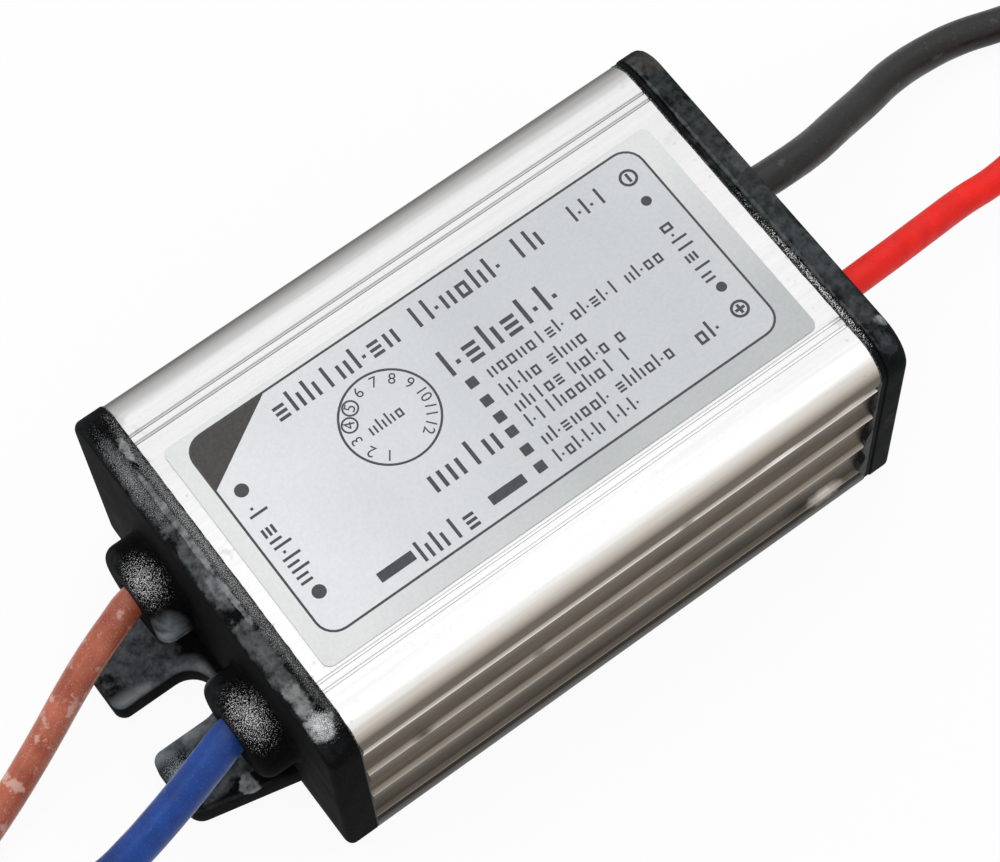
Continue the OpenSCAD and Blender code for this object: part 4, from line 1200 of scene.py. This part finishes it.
def case_finish():
    """Satin aluminium with painted reflection: bright above, warm and dark on the sides and in the flutes, with a
    painted highlight along each rib.
    """
    material, tree, shader, place = finish_material("case_aluminium_finish", 0.85, 0.42)
    x, y, z = axes(tree, place)
    grain = noise_texture(tree, stretched(tree, place, GRAIN_LONG), 1.0, 4.0, 0.6)
    fine = noise_texture(tree, stretched(tree, place, GRAIN_FINE), 1.0, 2.0, 0.6)
    smudge = noise_texture(tree, stretched(tree, place, (110, 420, 420)), 1.0, 4.0, 0.6)
    specks = use_group(tree, speckle, place, Scale=2600.0, Amount=0.05).outputs["Mask"]
    wear = use_group(tree, mottle, place, Scale=420.0, Cover=0.3).outputs["Mask"]
    # Painted shade: the sides darken towards the bottom.
    low = remap(tree, z, 2.4 * mm, 6 * mm)
    side = mix_colour(tree, low, PAINTED_LOW_SIDE_SHADE, PAINTED_SIDE_REFLECTION)
    side = mix_colour(tree, remap(tree, grain, 0.3, 0.75, 0.0, 0.4), side, SMUDGE_TONE)
    side = mix_colour(tree, remap(tree, smudge, 0.46, 0.66, 0.0, 0.5), side, SMUDGE_TONE)
    step = math_node(tree, "SUBTRACT", z, (RIB_Z[0] - RIB_PITCH / 2) * mm)
    phase = math_node(tree, "FRACT", math_node(tree, "DIVIDE", step, RIB_PITCH * mm))
    # Painted highlight: a bright line along each rib crest, brighter on the upper ribs and dulled by the smudges.
    ease = remap(tree, phase, 0.505, 0.585, 1.0, 0.0)
    crest_highlight_mask = times(tree, remap(tree, phase, 0.4, 0.47), ease)
    # Painted sheen: a lighter band across the middle of each flute, fading towards the bottom.
    from_crest = math_node(tree, "ABSOLUTE", math_node(tree, "SUBTRACT", phase, 0.5))
    middle = times(tree, remap(tree, from_crest, 0.3, 0.47, 0.0, 0.7), low)
    side = mix_colour(tree, middle, side, PAINTED_FLUTE_SHEEN)
    crest_highlight = tone_ramp(tree, remap(tree, z, 0, HEIGHT * mm), CREST_HIGHLIGHT_BY_HEIGHT)
    crest_highlight = mix_colour(tree, remap(tree, smudge, 0.5, 0.7, 0.0, 0.35), crest_highlight, PAINTED_SIDE_REFLECTION)
    side = mix_colour(tree, crest_highlight_mask, side, crest_highlight)
    # Painted shade: the top darkens towards the far side and towards the output end.
    far = remap(tree, y, -2 * mm, 10 * mm)
    top = mix_colour(tree, far, TOP_TONE, TOP_PAINTED_SHADE_FAR)
    top = mix_colour(tree, remap(tree, x, 0, 25 * mm, 0.0, 0.6), top, TOP_PAINTED_SHADE_OUTPUT)
    top = mix_colour(tree, remap(tree, grain, 0.35, 0.7, 0.0, 0.3), top, rgb(189, 189, 189))
    top = mix_colour(tree, remap(tree, fine, 0.4, 0.75, 0.0, 0.2), top, rgb(179, 179, 179))
    # Painted reflection round the top corners, darker on the far side, read from the ramps by the stored turn
    turn = attribute_value(tree, "turn")
    painted_corner = mix_colour(tree, remap(tree, y, -1 * mm, 1 * mm),
                        tone_ramp(tree, turn, NEAR_CORNER_PAINTED_REFLECTION), tone_ramp(tree, turn, FAR_CORNER_PAINTED_REFLECTION))
    painted_corner = mix_colour(tree, remap(tree, grain, 0.3, 0.75, 0.0, 0.14), painted_corner, SMUDGE_TONE)
    colour = mix_colour(tree, remap(tree, turn, 0.0, 0.12), side, painted_corner)
    colour = mix_colour(tree, remap(tree, turn, 0.85, 1.0), colour, top)
    near_ends = remap(tree, math_node(tree, "ABSOLUTE", x), 23.6 * mm, 25.3 * mm)
    dirt = times(tree, add_masks(tree, wear, specks), near_ends)
    colour = mix_colour(tree, times(tree, dirt, 0.3), colour, rgb(98, 95, 90))
    colour = mix_colour(tree, times(tree, specks, 0.05), colour, rgb(120, 114, 104))
    for centre, size, tone in CASE_NICKS:
        nick = spot(tree, place, centre, size, 1500.0)["Fall"]
        colour = mix_colour(tree, times(tree, nick, 0.85), colour, rgb(*tone))
    tree.links.new(colour, shader.inputs["Base Color"])
    tree.links.new(remap(tree, grain, 0.2, 0.8, 0.34, 0.5), shader.inputs["Roughness"])
    bump(tree, shader, math_node(tree, "ADD", grain, times(tree, fine, 0.5)), 0.12, 0.02 * mm)
    return material


def is_groove(at):
    return any(abs(abs(at.y) - y) < GROOVE_W and at.z < HEIGHT - 0.01 for y in GROOVE_Y)


def turn_rule(at, normal):
    """Share of the quarter turn from side to top: 0 on a side, 1 on the flat top, less in a groove."""
    rise, out = at.z - (HEIGHT - TOP_CORNER_R), abs(at.y) - (HALF_W - TOP_CORNER_R)
    if rise < 0:
        return 0.0
    if is_groove(at):
        return NEAR_GROOVE if at.y < 0 else FAR_GROOVE
    return min(1.0, math.degrees(math.atan2(rise, max(0.0, out))) / 90)


# %% Moulded plastic
CAP_BLACK = rgb(9, 9, 10)
CAP_OUTPUT_BLACK = rgb(15, 17, 18)
FLANGE_FILM = rgb(100, 103, 104)
# Marks on each cap: kind, centre, size, tone and strength. Grit is white grain made bright as painted sparkle; film
# is dried sealant, and on the top faces its grey is also painted sheen.
INPUT_MARKS = [
    ("film", (-30.9, 8.4, 13.0), (2.2, 3.2, 2.6), rgb(50, 54, 55), 0.7),
    ("film", (-30.9, -4.6, 13.2), (2.2, 3.2, 2.6), rgb(46, 49, 50), 0.7),
    ("grit_and_sparkle", (-30.4, 6.0, 15.0), (2.2, 3.4, 2.7), rgb(238, 238, 240), 0.85),
    ("grit_and_sparkle", (-30.1, -8.5, 14.5), (2.2, 3.8, 3.0), rgb(250, 250, 252), 0.9),
    ("film", (-27.3, 9.0, 23.9), (1.35, 8.0, 1.2), FLANGE_FILM, 0.42),
    ("film", (-27.3, 0.0, 23.9), (1.35, 8.0, 1.2), FLANGE_FILM, 0.8),
    ("film", (-27.3, -9.0, 23.9), (1.45, 8.0, 1.2), FLANGE_FILM, 0.85),
    ("film", (-25.9, 0.0, 23.9), (0.9, 24.0, 1.2), rgb(82, 84, 84), 0.7),
    ("film", (-26.65, 5.0, 23.9), (0.42, 8.0, 0.8), rgb(166, 168, 170), 0.6),
    ("film", (-26.65, -3.0, 23.9), (0.42, 3.6, 0.8), rgb(164, 166, 168), 0.7),
    ("film", (-27.2, -1.6, 23.9), (0.7, 2.4, 0.8), rgb(128, 130, 133), 0.75),
    ("film", (-26.3, 12.4, 23.9), (0.6, 2.0, 0.8), rgb(170, 172, 174), 0.8),
    ("film", (-27.4, -12.2, 23.9), (1.2, 2.6, 0.8), rgb(146, 148, 148), 0.8),
    ("film", (-27.1, -15.3, 23.6), (1.5, 1.8, 1.5), rgb(196, 198, 200), 0.8),
    ("grit_and_sparkle", (-27.1, -15.3, 23.6), (1.5, 1.8, 1.5), rgb(246, 246, 246), 0.8),
    ("grit_and_sparkle", (-27.4, 10.0, 23.9), (1.2, 7.0, 1.0), rgb(214, 216, 218), 0.4),
    ("grit_and_sparkle", (-25.9, 2.0, 23.9), (0.9, 26.0, 1.0), rgb(200, 200, 202), 0.5),
    ("film", (-33.4, 6.0, 3.0), (5.4, 5.0, 1.2), rgb(104, 110, 113), 0.85),
    ("film", (-33.9, -5.8, 3.0), (5.4, 4.6, 1.2), rgb(98, 106, 107), 0.85),
    ("grit_and_sparkle", (-36.2, -4.8, 3.0), (2.2, 2.6, 1.2), rgb(190, 200, 204), 0.7),
    ("film", (-32.3, -9.3, 3.0), (1.2, 1.3, 1.2), rgb(176, 180, 182), 0.9),
    ("film", (-29.6, -9.5, 5.0), (1.1, 1.2, 1.6), rgb(132, 136, 136), 0.8),
    ("film", (-29.9, 4.6, 5.4), (0.9, 0.8, 0.9), rgb(62, 65, 65), 0.7),
]
OUTPUT_MARKS = [
    ("film", (27.2, 2.0, 23.9), (2.0, 26.0, 1.2), rgb(74, 79, 80), 0.7),
    ("film", (27.2, -9.0, 23.9), (2.0, 12.0, 1.2), rgb(78, 82, 84), 0.55),
    ("grit_and_sparkle", (25.8, -9.0, 23.9), (0.5, 13.0, 0.9), rgb(238, 238, 238), 0.75),
    ("film", (26.3, 0.0, 23.9), (0.3, 30.0, 0.9), rgb(92, 95, 96), 0.7),
    ("film", (27.2, -16.2, 22.9), (1.3, 1.6, 1.3), rgb(66, 70, 72), 0.7),
    ("film", (27.8, -14.5, 23.5), (1.0, 1.1, 1.0), rgb(160, 163, 165), 0.85),
    ("film", (27.3, -18.0, 10.9), (1.3, 0.9, 3.0), rgb(60, 60, 58), 0.7),
    ("film", (27.6, 3.6, 23.8), (1.2, 1.9, 1.0), rgb(92, 94, 95), 0.5),
    ("film", (27.4, 15.6, 23.2), (1.6, 2.6, 1.6), rgb(78, 72, 66), 0.7),
]


def slot_glow(tree, place):
    """Painted highlight: a soft light band on the ear's top, along the edge of the screw slot."""
    x, y, z = axes(tree, place)
    beyond = math_node(tree, "MAXIMUM", math_node(tree, "SUBTRACT", x, SLOT_X * mm), 0.0)
    squares = math_node(tree, "ADD", times(tree, beyond, beyond), times(tree, y, y))
    away = math_node(tree, "SUBTRACT", math_node(tree, "SQRT", squares), SLOT_HALF * mm)
    band = remap(tree, away, 0.3 * mm, 1.5 * mm, 1.0, 0.0)
    patchy = remap(tree, noise_texture(tree, place, 420.0, 4.0, 0.6), 0.34, 0.56, 0.15, 1.0)
    return times(tree, band, patchy, remap(tree, x, -28.8 * mm, -29.4 * mm),
                 remap(tree, z, 2.5 * mm, 2.9 * mm))


def cap_finish(name, base, marks, specular, with_slot_highlight=False):
    """Black moulded plastic with its own list of marks."""
    material, tree, shader, place = finish_material(name, 0.0, 0.7, specular)
    cloud = use_group(tree, mottle, place, Scale=330.0, Cover=0.42).outputs["Cloud"]
    dots = noise_texture(tree, place, 13000.0, 1.0, 0.5)
    film = remap(tree, noise_texture(tree, place, 1300.0, 5.0, 0.65), 0.34, 0.66, 0.2, 1.0)
    edges = {"grit_and_sparkle": (900.0, 1.0), "film": (520.0, 1.5)}
    colour = mix_colour(tree, remap(tree, cloud, 0.35, 0.7, 0.0, 0.6), base, rgb(18, 19, 20))
    colour = mix_colour(tree, times(tree, remap(tree, dots, 0.6, 0.68), 0.08),
                        colour, rgb(120, 122, 124))
    covered = []
    for kind, centre, size, tone, strength in marks:
        area = spot(tree, place, centre, size, *edges[kind])
        if kind == "grit_and_sparkle":
            # White grain, thickest at the middle of the spot: painted sparkle.
            dense = math_node(tree, "ADD", dots, times(tree, area["Fall"], 0.22))
            mask = times(tree, remap(tree, dense, 0.69, 0.74), remap(tree, area["Fall"], 0.0, 0.4))
        else:
            # Dried sealant; on the top faces its grey is also painted sheen.
            mask = times(tree, area["Mask"], film)
        covered.append(mask)
        colour = mix_colour(tree, times(tree, mask, strength), colour, tone)
    if with_slot_highlight:
        colour = mix_colour(tree, times(tree, slot_glow(tree, place), 0.75),
                            colour, rgb(168, 176, 180))
    # Painted highlight on the ear's bevelled edge and the flanges' top rounding, in patches
    rim = times(tree, attribute_value(tree, "rim"), film)
    colour = mix_colour(tree, times(tree, rim, 0.5), colour, rgb(96, 100, 103))
    tree.links.new(colour, shader.inputs["Base Color"])
    rough = remap(tree, cloud, 0.3, 0.7, 0.6, 0.74)
    tree.links.new(math_node(tree, "ADD", rough, times(tree, add_masks(tree, *covered), 0.25)),
              shader.inputs["Roughness"])
    height = math_node(tree, "ADD", use_group(tree, relief, place).outputs["Height"],
                       times(tree, film, 0.5))
    bump(tree, shader, height, 0.3, 0.06 * mm)
    return material


def slope_share(normal):
    """1 on faces that lean, and 0 on upright and flat ones."""
    return smooth(normal.z, 0.2, 0.6) * smooth(0.98 - normal.z, 0.0, 0.2)


# Share of painted highlight: strong on the ear's upper bevel, faint on the rest of its top and on the input
# flange's top rounding
def input_rim_rule(at, normal):
    if at.x < -29 and EAR_T - EAR_BEVEL - 0.05 < at.z < EAR_T + 0.05:
        return 0.8 if 0.2 < normal.z < 0.97 else 0.1
    return 0.2 * slope_share(normal) if at.z > 22 and at.x < -27 else 0.0


# Faint painted highlight on the output flange's top rounding
def output_rim_rule(at, normal):
    return 0.1 * slope_share(normal) if at.z > 22 and at.x > 27 else 0.0


def sealant_finish():
    material, tree, shader, place = finish_material("sealant_finish", 0.0, 0.55, 0.15)
    cloud = use_group(tree, mottle, place, Scale=700.0, Cover=0.5)
    specks = remap(tree, noise_texture(tree, place, 7000.0, 1.0, 0.5), 0.5, 0.62)
    z = axes(tree, place)[2]
    colour = mix_colour(tree, cloud.outputs["Mask"], rgb(14, 14, 16), rgb(52, 52, 52))
    # Light specks in the sealant, painted as sparkle.
    colour = mix_colour(tree, times(tree, specks, 0.5), colour, rgb(150, 150, 150))
    colour = mix_colour(tree, remap(tree, z, 22.5 * mm, 19.5 * mm, 0.0, 0.85), colour, rgb(17, 17, 17))
    tree.links.new(colour, shader.inputs["Base Color"])
    height = use_group(tree, relief, place, Coarse_Scale=900.0).outputs["Height"]
    bump(tree, shader, height, 0.5, 0.08 * mm)
    return material


# %% Label foil and print
def foil_finish(name, light, tone, metallic, roughness, far_light=0.0):
    """Printed foil with painted light: it is lighter towards the input end and, by a given share, towards the far
    side.
    """
    material, tree, shader, place = finish_material(name, metallic, roughness, 0.4)
    x, y, z = axes(tree, place)
    grain = noise_texture(tree, stretched(tree, place, (3200, 3600, 3000)), 1.0, 3.0, 0.65)
    slow = noise_texture(tree, place, 90.0, 3.0, 0.5)
    wave = math_node(tree, "MULTIPLY", math_node(tree, "SUBTRACT", slow, 0.5), 0.6)
    along = math_node(tree, "ADD", remap(tree, x, 2 * mm, -22 * mm), wave)
    across = remap(tree, y, -8 * mm, 9 * mm, 0.0, far_light)
    painted_light_share = remap(tree, math_node(tree, "ADD", along, across), 0.0, 1.0)
    colour = mix_colour(tree, painted_light_share, tone, light)
    dull = mix_colour(tree, 0.92, rgb(0, 0, 0), colour)
    colour = mix_colour(tree, remap(tree, grain, 0.3, 0.72), colour, dull)
    tree.links.new(colour, shader.inputs["Base Color"])
    bump(tree, shader, grain, 0.1, 0.01 * mm)
    return material


def ink_finish(name, tone, lighter):
    material, tree, shader, place = finish_material(name, 0.0, 0.5, 0.4)
    grain = noise_texture(tree, place, 4200.0, 3.0, 0.6)
    tree.links.new(mix_colour(tree, remap(tree, grain, 0.35, 0.7), tone, lighter), shader.inputs["Base Color"])
    return material


# %% Lead insulation
def lead_finish(name, base, darker, scuff, scuff_cover, scuff_strength, roughness):
    """Soft PVC with its own wear: slow tone changes, whitish scuffs along it and the finest dust."""
    material, tree, shader, place = finish_material(f"{name}_insulation_finish", 0.0, roughness, 0.3)
    slow = noise_texture(tree, place, 240.0, 4.0, 0.6)
    rubbed = use_group(tree, mottle, place, Scale=700.0, Cover=scuff_cover)
    dust = remap(tree, noise_texture(tree, place, 7000.0, 1.0, 0.5), 0.64, 0.7)
    colour = mix_colour(tree, remap(tree, slow, 0.35, 0.68), base, darker)
    colour = mix_colour(tree, times(tree, rubbed.outputs["Mask"], scuff_strength), colour, scuff)
    colour = mix_colour(tree, times(tree, dust, scuff_strength, 0.6), colour, scuff)
    tree.links.new(colour, shader.inputs["Base Color"])
    tree.links.new(remap(tree, rubbed.outputs["Cloud"], 0.3, 0.7, roughness - 0.08, roughness + 0.14),
              shader.inputs["Roughness"])
    height = use_group(tree, relief, place, Coarse_Scale=260.0, Fine_Scale=2600.0).outputs["Height"]
    bump(tree, shader, height, 0.18, 0.05 * mm)
    return material


def tin_finish():
    material, tree, shader, place = finish_material("tinned_metal_finish", 1.0, 0.32)
    cloud = noise_texture(tree, place, 900.0, 4.0, 0.6)
    tree.links.new(mix_colour(tree, remap(tree, cloud, 0.35, 0.7), rgb(216, 217, 219), rgb(160, 160, 160)),
              shader.inputs["Base Color"])
    tree.links.new(remap(tree, cloud, 0.3, 0.7, 0.22, 0.45), shader.inputs["Roughness"])
    bump(tree, shader, cloud, 0.25, 0.05 * mm)
    return material


# %% Parts inside the case
def plain_finish(name, base, darker, metallic=0.0, roughness=0.5, scale=600.0, clear=0.0):
    """Two close tones, a speck of dust and a light relief: enough for a part that is seldom seen."""
    material, tree, shader, place = finish_material(f"{name}_finish", metallic, roughness, 0.5, clear)
    cloud = noise_texture(tree, place, scale, 4.0, 0.6)
    dust = use_group(tree, speckle, place, Scale=3000.0, Amount=0.06).outputs["Mask"]
    colour = mix_colour(tree, remap(tree, cloud, 0.35, 0.7), base, darker)
    colour = mix_colour(tree, times(tree, dust, 0.25), colour, rgb(170, 168, 162))
    tree.links.new(colour, shader.inputs["Base Color"])
    bump(tree, shader, cloud, 0.2, 0.04 * mm)
    return material


def winding_finish():
    """Enamelled copper, with fine turns round the choke's upright post."""
    material, tree, shader, place = finish_material("enamelled_copper_finish", 0.9, 0.3)
    turns = tree.nodes.new("ShaderNodeTexWave")
    turns.bands_direction = "Z"
    turns.inputs["Scale"].default_value = 900.0
    turns.inputs["Distortion"].default_value = 0.2
    tree.links.new(place, turns.inputs["Vector"])
    colour = mix_colour(tree, turns.outputs["Fac"], rgb(120, 62, 30), rgb(196, 112, 60))
    tree.links.new(colour, shader.inputs["Base Color"])
    bump(tree, shader, turns.outputs["Fac"], 0.6, 0.08 * mm)
    return material


# %% Make every finish and hand it out
# Base, darker and scuff tone of each lead, how much is scuffed and how strongly, and the roughness
LEAD_LOOKS = {
    "brown": (rgb(196, 110, 84), rgb(156, 76, 54), rgb(238, 208, 196), 0.36, 0.46, 0.28),
    "blue": (rgb(14, 68, 152), rgb(8, 46, 114), rgb(112, 152, 204), 0.24, 0.26, 0.34),
    "red": (rgb(244, 24, 10), rgb(216, 16, 6), rgb(246, 112, 86), 0.06, 0.2, 0.5),
    "black": (rgb(24, 24, 23), rgb(14, 14, 13), rgb(126, 128, 128), 0.28, 0.16, 0.36),
}
FINISHES = {
    "case_aluminium": case_finish(),
    "label_foil": foil_finish("label_foil_finish", rgb(208, 210, 210), rgb(174, 177, 178), 0.35, 0.45, 0.9),
    "cap_plastic": cap_finish("cap_plastic_finish", CAP_OUTPUT_BLACK, OUTPUT_MARKS, 0.02),
    "sealant": sealant_finish(),
    "board": plain_finish("board", rgb(24, 92, 48), rgb(16, 70, 38), 0.0, 0.35, 400.0, 0.3),
    "film": plain_finish("film", rgb(205, 196, 150), rgb(188, 178, 130), 0.0, 0.3, 300.0, 0.2),
    "ferrite": plain_finish("ferrite", rgb(62, 62, 66), rgb(44, 44, 47), 0.2, 0.55, 1500.0),
    "bobbin": plain_finish("bobbin", rgb(34, 34, 36), rgb(24, 24, 26), 0.0, 0.4, 900.0),
    "winding_tape": plain_finish("winding_tape", rgb(226, 184, 50), rgb(206, 160, 34), 0.0, 0.35, 700.0, 0.3),
    "tinned_metal": tin_finish(),
    "capacitor_sleeve": plain_finish("capacitor_sleeve", rgb(28, 34, 62), rgb(20, 25, 48), 0.0, 0.3, 700.0, 0.3),
    "enamelled_copper": winding_finish(),
    "coated_ceramic": plain_finish("coated_ceramic", rgb(40, 96, 170), rgb(30, 78, 146), 0.0, 0.35, 900.0, 0.2),
    "fuse_body": plain_finish("fuse_body", rgb(126, 86, 58), rgb(104, 68, 44), 0.0, 0.4, 900.0),
    "moulded_epoxy": plain_finish("moulded_epoxy", rgb(40, 40, 42), rgb(28, 28, 30), 0.0, 0.5, 1800.0),
    **{f"{name}_insulation": lead_finish(name, *look) for name, look in LEAD_LOOKS.items()},
}
INPUT_CAP_FINISH = cap_finish("input_cap_finish", CAP_BLACK, INPUT_MARKS, 0.01, True)
FIELD_FINISH = foil_finish("label_field_finish", rgb(208, 210, 213), rgb(184, 187, 190), 0.3, 0.42, 0.1)
INK_FINISH = ink_finish("label_ink_finish", rgb(48, 49, 52), rgb(66, 67, 70))
WEDGE_FINISH = ink_finish("label_wedge_finish", rgb(44, 42, 39), rgb(60, 58, 54))
OWN_FINISH = {
    "input_cap_moulding": INPUT_CAP_FINISH, "label_field_print": FIELD_FINISH, "label_outline_print": INK_FINISH,
    "label_wedge_print": WEDGE_FINISH, "label_ink_print": INK_FINISH, "dial_number_print": INK_FINISH,
}

stored(case, "turn", turn_rule)
stored(cap_pieces["input"], "rim", input_rim_rule)
stored(cap_pieces["output"], "rim", output_rim_rule)

dressed = 0
for obj in bpy.data.objects:
    if obj.type not in {"MESH", "CURVE"} or obj == floor:
        continue
    if "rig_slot" in obj:
        finish = OWN_FINISH.get(obj.name) or FINISHES[obj["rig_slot"]]
        obj.data.materials.clear()
        obj.data.materials.append(finish)
        dressed += 1
    else:
        for held in obj.material_slots:
            if held.material and held.material.name in FINISHES:
                held.material = FINISHES[held.material.name]
                dressed += 1
            else:
                print("no finish for", obj.name, held.material.name if held.material else None)
print("pieces dressed:", dressed)
